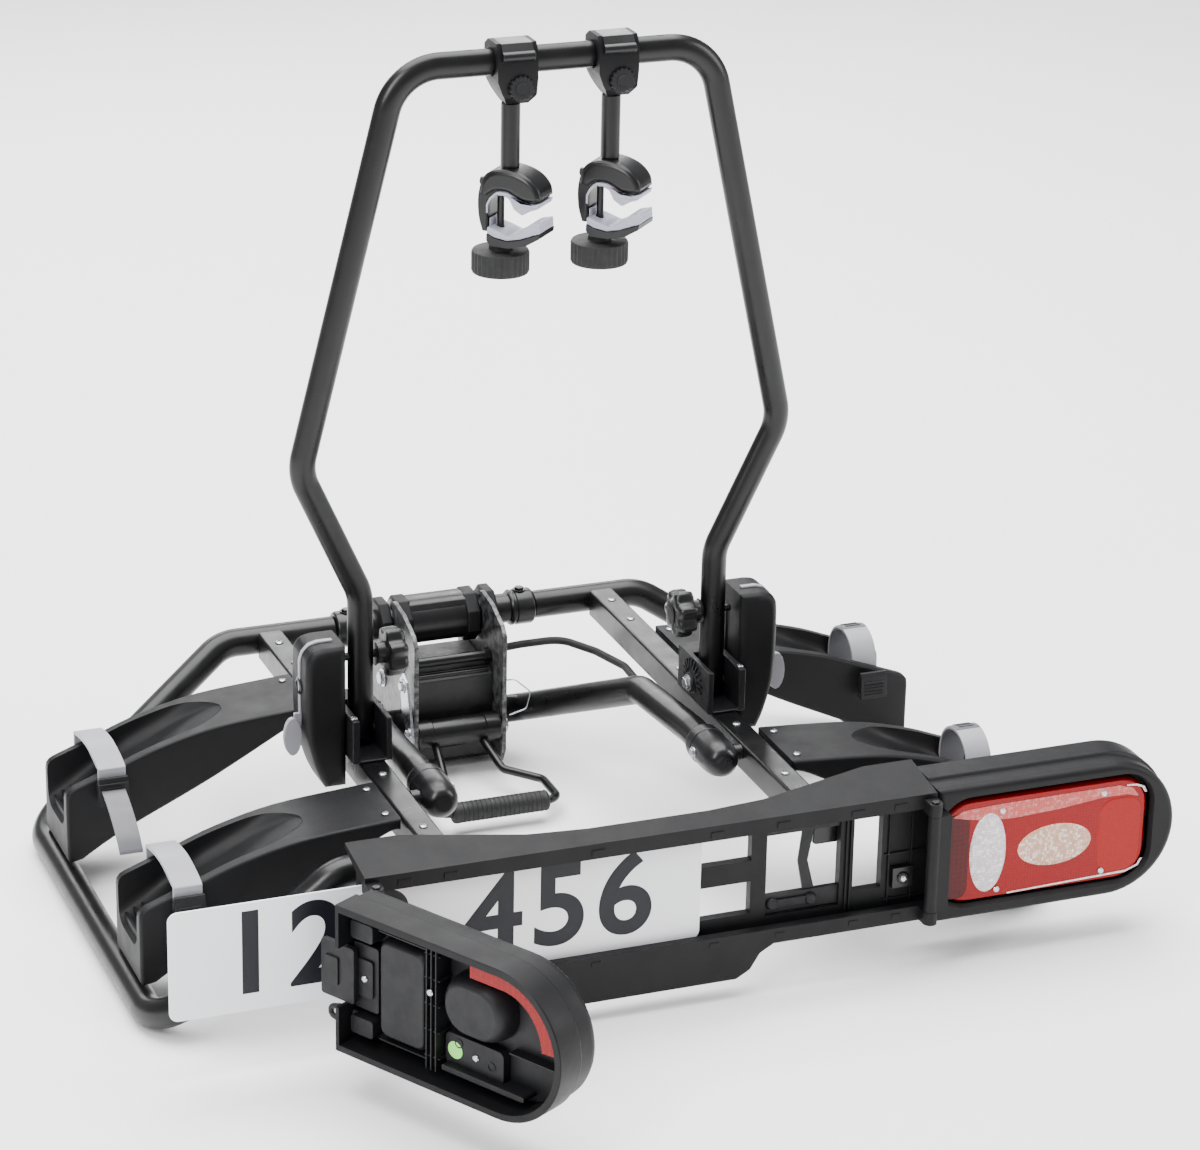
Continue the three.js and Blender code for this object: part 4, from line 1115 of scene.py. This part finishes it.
def build_clamps():
    """Collars, rods, jaws, liners and hand knobs of the two frame clamps."""
    for side in CLAMP_X:
        group, swivel = clamp_places(side)
        refine("clamp_collar_" + side, moulded_polypropylene, "clamp_collar_" + side, "black_plastic",
               edge=2.0 * MM, segments=3)
        strap = slab([(-21.4, 12), (-15, 20.6), (9, 20.8), (9, 19.4), (-13, 19.2), (-19.8, 11)],
                     "x", -15.5, 15.5)
        hinge = lathe([(4.4, -16), (4.8, -15.4), (4.8, 15.4), (4.4, 16)], "x", (0, -19.5, 8.5), 24)
        strap.transform(Matrix.Translation((0, 0.4, -0.6)))
        add_piece("clamp_latch_" + side, merged(strap, hinge), smooth_polypropylene,
                  "clamp_collar_" + side, "black_plastic", move=group, edge=0.9 * MM)
        drum = lathe([(8, -23), (11.4, -22.6), (12, -21.6), (12, -14)], "y", RATCHET, 96, ratchet_cogs)
        hub = lathe([(5.4, -24.2), (6, -23.6), (6, -20)], "y", RATCHET, 24)
        add_piece("clamp_ratchet_" + side, merged(drum, hub), glass_filled_nylon,
                  "clamp_collar_" + side, "dark_plastic", move=group)
        rod = sweep([Vector((0, 0, JAW_TOP)), Vector((0, 0, -40.3))], 9.2, soft_end=0.6)
        add_piece("clamp_rod_tube_" + side, rod, powder_coated_steel, "clamp_" + side, "coated_steel",
                  ["clamp_rod_" + side], group)
        outside = smooth_line([(-26, -178), (-31, -160), (-31.6, -136), (-25, -114), (-12, -104.6),
                               (8, -102.6), (30, -109), (43, -121), (46, -133)])
        inside = smooth_line([(40, -137.6), (24, -137), (6, -128.4), (-6, -128.4), (-16, -136), (-20, -148),
                              (-20, -178)])
        frame_c = cushion(jaw_line([*outside, *inside]), "y", -15.5, 15.5, 1.6)
        crown = smooth_line([(-30.4, -134), (-27, -118), (-14, -105), (8, -102.4), (30, -108.4), (43, -120.4),
                             (46.4, -131)])
        mouth = smooth_line([(43, -136.6), (24, -136.4), (8, -129), (-8, -129), (-20, -137)])
        cap = cushion(jaw_line([*crown, *mouth]), "y", -17.5, 17.5, 5.5)
        stud = lathe([(3.4, -125), (3.4, -190)], "z", (STUD_S, 0, 0), 24)
        bolt = lathe([(4.2, -30), (4.2, -21)], "x", (0, 0, -120.3), 6)
        add_piece("clamp_upper_cap_" + side, merged(frame_c, cap, stud, bolt), smooth_polypropylene,
                  "clamp_" + side, "black_plastic", ["clamp_upper_jaw_" + side], swivel, smooth_angle=50)
        band = cushion([(-11, -163.5), (11, -163.5), (11, -152.5), (-11, -152.5)], "x", -15.9, -14.6, 0.5)
        add_piece("clamp_back_band_" + side, band, soft_elastomer, "clamp_lower_" + side, "liner_grey",
                  move=swivel)
        refine("clamp_upper_liner_" + side, soft_elastomer, "clamp_" + side, "liner_grey", edge=1.2 * MM,
               segments=3)
        refine("clamp_lower_jaw_" + side, smooth_polypropylene, "clamp_lower_" + side, "black_plastic",
               edge=2.4 * MM, segments=4)
        refine("clamp_lower_liner_" + side, soft_elastomer, "clamp_lower_" + side, "liner_grey",
               edge=1.2 * MM, segments=3)
        skirt = slab(jaw_line([(46, -136), (44, -141.4), (30, -141), (8, -131.5), (-6, -131), (-14, -139),
                               (-17.4, -145), (-17.6, -155), (-19.6, -155), (-19.8, -145),
                               (-15.6, -136.6), (-6, -128.6), (6, -128.6), (24, -138), (40, -138.4)]),
                     "y", -18.0, -16.4)
        add_piece("clamp_liner_lip_" + side, skirt, soft_elastomer, "clamp_" + side, "liner_grey",
                  move=swivel, edge=0.5 * MM)
        knob = lathe([(11.6, -178.9), (11, -181), (11.5, -184.6), (24, -185), (27, -186), (28, -188),
                      (28, -190), (28, -203), (28, -205), (27, -207.2), (24, -208), (18, -207.6),
                      (16, -206.4)], "z", (STUD_S, 0, 0), 180, knob_ribs)
        add_piece("clamp_knob_grip_" + side, knob, moulded_rubber, "clamp_knob_" + side, "rubber",
                  ["clamp_knob_" + side], swivel)


# ---- rear board and number plate -----------------------------------------------------------------


def build_board():
    """The moulded board with its ribs, clips, clamp arms, catches and hinge pins."""
    refine("plate_board", moulded_polypropylene, "platform", "black_plastic", edge=1.1 * MM,
           whole_faces=False)
    clips = []
    for x in (-250, -205, -60, 60, 128, 205, 250):
        clips.append(block(x - 7, x + 7, -116.6, -112, 9.6, 16))
        clips.append(block(x - 5, x + 5, -116.4, -112, -106, -101))
    add_piece("board_clips", merged(*clips), moulded_polypropylene, "platform", "black_plastic",
              edge=0.8 * MM)
    ribs = []
    for side in (-1, 1):
        for x in (201, 205.5, 246, 270):
            ribs.append(block(*sorted((side * x, side * (x + 1.8))), -101, -98, -96, 10))
        for z in (-93, -45, 12):
            ribs.append(block(*sorted((side * 243, side * 286)), -100.6, -98, z, z + 1.8))
    for x in (-111, 0, 111):
        ribs.append(block(x - 1, x + 1, -88.8, -84, -108, 10))
    for z, half in ((-95, 270), (-40, 103), (8, 270)):
        ribs.append(block(-half, half, -88.8, -85.8, z - 1, z + 1))
    add_piece("board_ribs", merged(*ribs), moulded_polypropylene, "platform", "black_plastic",
              edge=0.4 * MM)
    for side, move in SIDES.items():
        arms = []
        for z in (2, -80):
            arms.append(block(118, 197, -95.6, -90.2, z - 9.6, z + 9.6))
            arms.append(block(124, 170, -98.2, -95, z - 4.2, z + 4.2))
            arms += [dome(oval(x, z, 6.4, 6.4, 24), "y", -95.4, -4.6) for x in (127, 167)]
        brace = [(158, -6), (170, -6), (164, -40), (172, -72), (160, -72), (154, -40)]
        arms.append(slab(brace, "y", -94, -91))
        add_piece("board_clamp_arms_" + side, merged(*arms), glass_filled_nylon, "platform",
                  "dark_plastic", move=move, edge=0.7 * MM)
        pins = merged(*[lathe([(3.4, z0), (3.8, z0 + 0.6), (3.8, z1 - 0.6), (3.4, z1)], "z", LAMP_HINGE, 24)
                        for z0, z1 in ((17, 18.6), (-112.6, -111))])
        add_piece("board_hinge_pins_" + side, pins, powder_coated_steel, "platform", "coated_steel",
                  move=move)
        catch = merged(block(250, 272, -104.6, -98.3, -80, -58),
                       lathe([(5.4, -107), (6, -106), (6, -104)], "y", (261, 0, -69), 24))
        add_piece("board_catch_" + side, catch, smooth_polypropylene, "platform", "black_plastic",
                  move=move, edge=0.9 * MM)
        screw = cross_screw("y", (261, -107, -69), 3.6, -1.8)
        add_piece("board_catch_screw_" + side, screw, zinc_plated_steel, "platform", "zinc_steel",
                  move=move)


PLATE = {"left": -470.6, "width": 520, "bottom": -100.6, "height": 110, "rear": -103.2}


def build_plate():
    """The number plate with generic digits."""
    left, bottom = PLATE["left"], PLATE["bottom"]
    right, top = left + PLATE["width"], bottom + PLATE["height"]
    sheet = slab(round_rect(left, bottom, right, top, 9, 8), "y", PLATE["rear"], PLATE["rear"] + 2)
    add_piece("plate_sheet", sheet, plate_laminate, "plate", "plate_white", ["number_plate"],
              edge=0.35 * MM)
    curve = bpy.data.curves.new("plate_digits", "FONT")
    curve.body = sizes().plate_digits
    curve.align_x = "CENTER"
    curve.align_y = "CENTER"
    cap_height = 0.72
    curve.size = sizes().digit_height / MM / cap_height
    curve.bevel_depth = 2.2
    curve.bevel_resolution = 1
    flatten = Matrix.Diagonal((1, 1, 0.07, 1))
    curve.space_character = 1.12
    text = bpy.data.objects.new("plate_digits", curve)
    bpy.context.scene.collection.objects.link(text)
    mesh = baked(text)
    bpy.data.objects.remove(text)
    shape = bmesh.new()
    shape.from_mesh(mesh)
    bpy.data.meshes.remove(mesh)
    bmesh.ops.remove_doubles(shape, verts=shape.verts, dist=0.01)
    upright = Matrix.Translation(((left + right) / 2, PLATE["rear"] - 0.1, (bottom + top) / 2))
    add_piece("plate_printed_digits", shape, plate_ink, "plate", "plate_white",
              move=upright @ Matrix.Rotation(math.pi / 2, 4, "X") @ flatten)


# ---- lamps ---------------------------------------------------------------------------------------

POD = {"inner": 288.6, "round": 478, "middle": -47, "radius": 71, "rear": -118, "front": -63}


def pod_line(inset, steps=32):
    """The D-shaped outline of a lamp, shrunk by inset."""
    reach = POD["radius"] - inset
    inner = POD["inner"] + max(inset, 0)
    line = [(inner, POD["middle"] - reach)]
    for k in range(steps + 1):
        angle = -math.pi / 2 + math.pi * k / steps
        line.append((POD["round"] + reach * math.cos(angle), POD["middle"] + reach * math.sin(angle)))
    line.append((inner, POD["middle"] + reach))
    return line


def pod_shape():
    """A lamp's hollow housing, with the opening for its lens and its leaf of the hinge."""
    stations = ((-118, 7), (-117.4, 4), (-115.6, 1.6), (-112.5, 0.3), (-109, 0), (-94, 0), (-92.4, -2.4),
                (-91, -3), (-64, -3), (-63, -2.2))
    shell = skin([[Vector((x, y, z)) for x, z in pod_line(inset)] for y, inset in stations])
    hollow = slab(pod_line(4), "y", -112, -58)
    bezel = skin([[Vector((x, y, z)) for x, z in round_rect(294 - g, -102.5 - g, 521 + g, 9.5 + g, 31 + g, 8)]
                  for y, g in ((-126, 7), (-118, 3.4), (-114, 1.2), (-106, 0))])
    doorway = block(280, POD["inner"] + 6, -80, -56, -76, -16)
    hinge = lathe([(6.6, -97.6), (6.6, 3.6)], "z", LAMP_HINGE, 32)
    leaf = block(LAMP_HINGE.x, 297, LAMP_HINGE.y - 5, LAMP_HINGE.y + 5, -97.6, 3.6)
    cheek = block(POD["inner"] + 0.4, 297, LAMP_HINGE.y - 4.6, POD["rear"] + 4, -97.4, 3.4)
    body = carve(carve(shell, hollow), bezel)
    body = carve(body, doorway)
    for part in (leaf, cheek, hinge):
        body = carve(body, part, "UNION")
    return body


LENS_FACE = -113.4
DECK_FACE = -94.2


def lens_patch(outline, lift, height, inset=0.06):
    """A raised zone on the face of a lens."""
    return dome(outline, "y", LENS_FACE - lift, -height, 4, inset)


def build_lenses():
    """The lamps' housings and the zones of their lenses."""
    for side, move in LAMP_SIDES.items():
        body = "lamp_" + side
        add_piece("lamp_shell_" + side, pod_shape(), moulded_polypropylene, body, "black_plastic",
                  ["lamp_pod_" + side], move, edge=0.9 * MM, edge_angle=40)
        base = dome(round_rect(294, -102, 520, 6, 30, 10), "y", -104, LENS_FACE + 104, 8, 0.045)
        add_piece("lens_body_" + side, base, red_acrylic, body, "lens_red", ["lamp_lens_" + side], move)
        rim = carve(slab(round_rect(294.5, -101.5, 519.5, 5.5, 30, 10), "y", -108, -104),
                    slab(round_rect(297, -99, 517, 3, 28, 10), "y", -112, -100))
        add_piece("lens_rim_" + side, rim, deep_red_acrylic, body, "lens_red", move=move, edge=0.4 * MM)
        # Painted highlights: thin whitish strips of clear acrylic along the lens's upper outer corner and its
        # bottom edge.
        edge_line = [(515.5, -12), (512, -6.5), (505, -3.4), (495, -2.6), (495, -1.2), (506, -1.8),
                     (514.5, -5.4), (517.6, -12)]
        low_line = [(515.5, -84), (512, -90), (500, -94.5), (370, -98.2), (370, -99.6), (500, -96.4),
                    (513.6, -91.4), (517.6, -84)]
        painted_highlight_strips = merged(lens_patch(edge_line, 0.0, 0.6, 0.02), lens_patch(low_line, 0.0, 0.6, 0.02))
        add_piece("lens_painted_highlight_" + side, painted_highlight_strips, clear_acrylic, body, "lens_red", move=move)
        inner_band = round_rect(299, -97, 326, -6, 11, 6)
        add_piece("lens_tail_band_" + side, lens_patch(inner_band, -0.3, 0.7), deep_red_acrylic, body,
                  "lens_red", move=move)
        strip = [(306, -9), (318, -3), (360, -1.2), (430, -0.8), (488, -0.8), (503, -6), (509, -15),
                 (498, -11.6), (470, -11.4), (420, -16.5), (372, -18.6), (345, -17), (322, -13)]
        add_piece("lens_top_strip_" + side, lens_patch(strip, -0.2, 0.8, 0.02), pink_acrylic, body,
                  "lens_red", move=move)
        corner = round_rect(466, -94, 513, -14, 17, 6)
        add_piece("lens_reflector_" + side, lens_patch(corner, -0.3, 0.7), reflex_acrylic, body, "lens_red",
                  move=move)
        tall = oval(346.5, -51.5, 19.5, 42.5, 48)
        add_piece("lens_fog_window_" + side, lens_patch(tall, -0.2, 2.2, 0.2), clear_acrylic, body,
                  "lens_red", move=move)
        wide = oval(419, -54, 40, 22, 48)
        add_piece("lens_reversing_window_" + side, lens_patch(wide, -0.2, 2.0, 0.2), amber_bulb_acrylic,
                  body, "lens_red", move=move)
        heads = merged(*[cross_screw("y", (x, LENS_FACE - 0.4, z), 3.2, -1.7)
                         for x, z in ((360, -9), (470, -7), (358, -93), (472, -91))])
        add_piece("lens_screws_" + side, heads, zinc_plated_steel, body, "zinc_steel", move=move)


def build_lamp_backs():
    """The inner covers seen when a lamp is folded: ribs, bulb housing, mount and lead."""
    for side, move in LAMP_SIDES.items():
        body = "lamp_" + side
        deck = slab(pod_line(4.4), "y", -98.6, -94)
        case = dome(round_rect(328, -99, 384, 3, 9, 5), "y", DECK_FACE, 17, 5, 0.12)
        bulb = dome(round_rect(404, -62, 480, -2, 28, 8), "y", DECK_FACE, 23, 6, 0.3)
        shelf = slab(round_rect(402, -101, 470, -68, 6, 4), "y", DECK_FACE, -84)
        skirt = slab(round_rect(404, -104, 500, -98, 2.5, 3), "y", DECK_FACE, -76)
        mount = slab(round_rect(294, -80, 324, -14, 3, 3), "y", DECK_FACE, -82)
        mount_pad = slab(round_rect(300, -66, 319, -28, 3, 3), "y", -82.2, -79.5)
        ears = [slab(round_rect(295, z0, 322, z1, 3, 3), "y", DECK_FACE, -76)
                for z0, z1 in ((-104, -86), (-8, 10))]
        add_piece("lamp_cover_" + side, merged(deck, case, bulb, shelf, skirt, mount, mount_pad, *ears),
                  glass_filled_nylon, body, "dark_plastic", ["lamp_back_" + side], move, edge=1.1 * MM)
        ribs = [block(x, x + 1.5, -94.4, -74, -108, 14) for x in (387, 392.5, 398)]
        ribs += [block(384, 402, -94.4, -76, z, z + 1.5) for z in (-96, -70, -44, -18, 6)]
        ribs += [block(326, 386, -94.4, -80, z, z + 1.6) for z in (-103, 6)]
        ribs.append(block(476, 544, -94.4, -84, -66, -64.4))
        add_piece("lamp_ribs_" + side, merged(*ribs), glass_filled_nylon, body, "dark_plastic", move=move,
                  edge=0.3 * MM)
        glow = [(478 + 64 * math.cos(a), -47 + 64 * math.sin(a))
                for a in (math.radians(4 + 86 * k / 14) for k in range(15))]
        glow += [(440, 16), (440, 2)]
        glow += [(478 + 45 * math.cos(a), -47 + 49 * math.sin(a))
                 for a in (math.radians(90 - 86 * k / 14) for k in range(15))]
        add_piece("lamp_glow_strip_" + side, slab(glow, "y", DECK_FACE, -72), red_acrylic, body, "lens_red",
                  move=move, edge=0.4 * MM)
        heads = merged(*[cross_screw("y", (x, y, z), 3.4, 1.8)
                         for x, y, z in ((309.5, -79.5, -47), (438, -84, -84), (392.5, -74.2, -30))])
        add_piece("lamp_cover_screws_" + side, heads, zinc_plated_steel, body, "zinc_steel", move=move)
        holes = merged(*[lathe([(4.6, -84.2), (4.6, -83.4), (3.4, -83.2), (3.2, -83.9)], "y", (x, 0, z), 24)
                         for x, z in ((456, -86), (418, -76))])
        add_piece("lamp_cover_bosses_" + side, holes, glass_filled_nylon, body, "dark_plastic", move=move)
        if side == "left":
            dot = lathe([(8.4, -83.9), (8.4, -83.5)], "y", (414, 0, -84), 40)
            add_piece("lamp_dot", dot, sticker_paper, body, "dark_plastic", move=move)
        tab = merged(slab(round_rect(262, -74, 302, -18, 3, 4), "y", -79, -73),
                     slab(round_rect(268, -60, 284, -32, 2, 3), "y", -73.2, -71))
        add_piece("lamp_tab_" + side, tab, glass_filled_nylon, body, "dark_plastic", move=move,
                  edge=0.7 * MM)
        lead = bend([(298, -84, -88), (276, -84, -88), (264, -84, -92), (264, -84, -100),
                     (276, -84, -103), (300, -84, -100)], 4.5, 6)
        add_piece("lamp_lead_loop_" + side, sweep(lead, 2.6, sides=16, soft_end=0.4), moulded_rubber, body,
                  "rubber", move=move)


# ---- floor, lights and camera --------------------------------------------------------------------

CAMERA_PLACE = (-1.312, -3.8062, 1.7786)
CAMERA_TURN = (21.51, 22.0, 1.18)
FLOOR_REACH = 30.0


def add_light(name, place, target, size, power):
    """A rectangular lamp at place that shines on target."""
    light = bpy.data.lights.new(name, "AREA")
    light.shape = "RECTANGLE"
    light.size, light.size_y = size
    light.energy = power
    obj = bpy.data.objects.new(name, light)
    bpy.context.scene.collection.objects.link(obj)
    obj.location = place
    obj.rotation_euler = (Vector(target) - Vector(place)).to_track_quat("-Z", "Y").to_euler()


def build_stage():
    """A plain pale floor, soft studio light and the camera behind and left of the rack."""
    floor_z = CAD_BOX[0][2] - 0.0005
    bm = bmesh.new()
    grid = bmesh.ops.create_grid(bm, x_segments=8, y_segments=8, size=FLOOR_REACH)
    bmesh.ops.translate(bm, verts=grid["verts"], vec=(0, 0, floor_z))
    mesh = bpy.data.meshes.new("studio_floor")
    bm.to_mesh(mesh)
    bm.free()
    floor = bpy.data.objects.new("studio_floor", mesh)
    bpy.context.scene.collection.objects.link(floor)
    mesh.materials.append(finish(painted_floor))

    world = bpy.data.worlds.new("studio")
    bpy.context.scene.world = world
    world.use_nodes = True
    world.node_tree.nodes["Background"].inputs["Color"].default_value = (1, 1, 1, 1)
    world.node_tree.nodes["Background"].inputs["Strength"].default_value = 0.5

    middle = (0.0, -0.35, 0.25)
    add_light("overhead", (0.0, 0.6, 4.6), (0.0, 0.2, 0.0), (5.0, 5.0), 800)
    add_light("key", (-2.4, -2.2, 2.4), middle, (0.9, 2.2), 110)
    add_light("fill", (2.8, -1.6, 1.6), middle, (0.8, 2.0), 55)
    add_light("rim", (0.4, 3.0, 1.6), middle, (3.0, 0.6), 60)

    yaw, pitch, roll = (math.radians(angle) for angle in CAMERA_TURN)
    ahead = Vector((math.sin(yaw) * math.cos(pitch), math.cos(yaw) * math.cos(pitch), -math.sin(pitch)))
    level = Vector((math.cos(yaw), -math.sin(yaw), 0))
    upward = level.cross(ahead)
    right = level * math.cos(roll) + upward * math.sin(roll)
    top = upward * math.cos(roll) - level * math.sin(roll)
    place = Matrix((right, top, -ahead)).transposed().to_4x4()
    place.translation = CAMERA_PLACE
    lens = bpy.data.cameras.new("camera")
    lens.sensor_width = 36
    lens.lens = 121.83
    lens.clip_end = 100
    camera = bpy.data.objects.new("camera", lens)
    bpy.context.scene.collection.objects.link(camera)
    camera.matrix_world = place
    bpy.context.scene.camera = camera


# ---- operators and panel -------------------------------------------------------------------------


class RACK_OT_stage(bpy.types.Operator):
    """Add the floor, the studio lights and the camera"""
    bl_idname = "rack.stage"
    bl_label = "Stage"

    def execute(self, context):
        build_stage()
        return {"FINISHED"}


class RACK_OT_frame(bpy.types.Operator):
    """Add the cross beam, side loops, bars and lamp cable"""
    bl_idname = "rack.frame"
    bl_label = "Platform tubes"

    def execute(self, context):
        build_frame()
        return {"FINISHED"}


class RACK_OT_coupling(bpy.types.Operator):
    """Add the coupling's cheeks, housing and tilt arms"""
    bl_idname = "rack.coupling"
    bl_label = "Coupling"

    def execute(self, context):
        build_coupling()
        return {"FINISHED"}


class RACK_OT_lever(bpy.types.Operator):
    """Add the coupling's lever"""
    bl_idname = "rack.lever"
    bl_label = "Lever"

    def execute(self, context):
        build_lever()
        return {"FINISHED"}


class RACK_OT_gutters(bpy.types.Operator):
    """Add the wheel gutters"""
    bl_idname = "rack.gutters"
    bl_label = "Wheel gutters"

    def execute(self, context):
        build_gutters()
        return {"FINISHED"}


class RACK_OT_straps(bpy.types.Operator):
    """Add the wheel straps and buckles"""
    bl_idname = "rack.straps"
    bl_label = "Wheel straps"

    def execute(self, context):
        build_straps()
        return {"FINISHED"}


class RACK_OT_feet(bpy.types.Operator):
    """Add the hoop's forks, shields and pull straps"""
    bl_idname = "rack.feet"
    bl_label = "Hoop feet"

    def execute(self, context):
        build_feet()
        return {"FINISHED"}


class RACK_OT_hoop(bpy.types.Operator):
    """Add the hoop and its star knobs"""
    bl_idname = "rack.hoop"
    bl_label = "Hoop"

    def execute(self, context):
        build_hoop()
        return {"FINISHED"}


class RACK_OT_clamps(bpy.types.Operator):
    """Add the frame clamps"""
    bl_idname = "rack.clamps"
    bl_label = "Frame clamps"

    def execute(self, context):
        build_clamps()
        return {"FINISHED"}


class RACK_OT_board(bpy.types.Operator):
    """Add the rear board"""
    bl_idname = "rack.board"
    bl_label = "Rear board"

    def execute(self, context):
        build_board()
        return {"FINISHED"}


class RACK_OT_plate(bpy.types.Operator):
    """Add the number plate"""
    bl_idname = "rack.plate"
    bl_label = "Number plate"

    def execute(self, context):
        build_plate()
        return {"FINISHED"}


class RACK_OT_lenses(bpy.types.Operator):
    """Add the lamp housings and lenses"""
    bl_idname = "rack.lenses"
    bl_label = "Lamps and lenses"

    def execute(self, context):
        build_lenses()
        return {"FINISHED"}


class RACK_OT_lamp_backs(bpy.types.Operator):
    """Add the inner covers of the lamps"""
    bl_idname = "rack.lamp_backs"
    bl_label = "Lamp covers"

    def execute(self, context):
        build_lamp_backs()
        return {"FINISHED"}


STEPS = (RACK_OT_stage, RACK_OT_frame, RACK_OT_coupling, RACK_OT_lever, RACK_OT_gutters, RACK_OT_straps,
         RACK_OT_feet, RACK_OT_hoop, RACK_OT_clamps, RACK_OT_board, RACK_OT_plate, RACK_OT_lenses,
         RACK_OT_lamp_backs)


class RACK_PT_steps(bpy.types.Panel):
    """The rack's pieces, in the order they are made"""
    bl_idname = "RACK_PT_steps"
    bl_label = "Bike rack"
    bl_space_type = "VIEW_3D"
    bl_region_type = "UI"
    bl_category = "Bike rack"

    def draw(self, context):
        for group in (context.scene.rack_sizes, context.scene.rack_colours):
            for name in group.bl_rna.properties.keys():
                if name not in ("rna_type", "name"):
                    self.layout.prop(group, name)
        for step in STEPS:
            self.layout.operator(step.bl_idname)


CLASSES = (RackSizes, RackColours, *STEPS, RACK_PT_steps)


def register():
    for cls in CLASSES:
        bpy.utils.register_class(cls)
    bpy.types.Scene.rack_sizes = PointerProperty(type=RackSizes)
    bpy.types.Scene.rack_colours = PointerProperty(type=RackColours)


def unregister():
    del bpy.types.Scene.rack_colours
    del bpy.types.Scene.rack_sizes
    for cls in reversed(CLASSES):
        bpy.utils.unregister_class(cls)


def main():
    register()
    for step in STEPS:
        module, name = step.bl_idname.split(".")
        getattr(getattr(bpy.ops, module), name)()


if __name__ == "__main__":
    main()
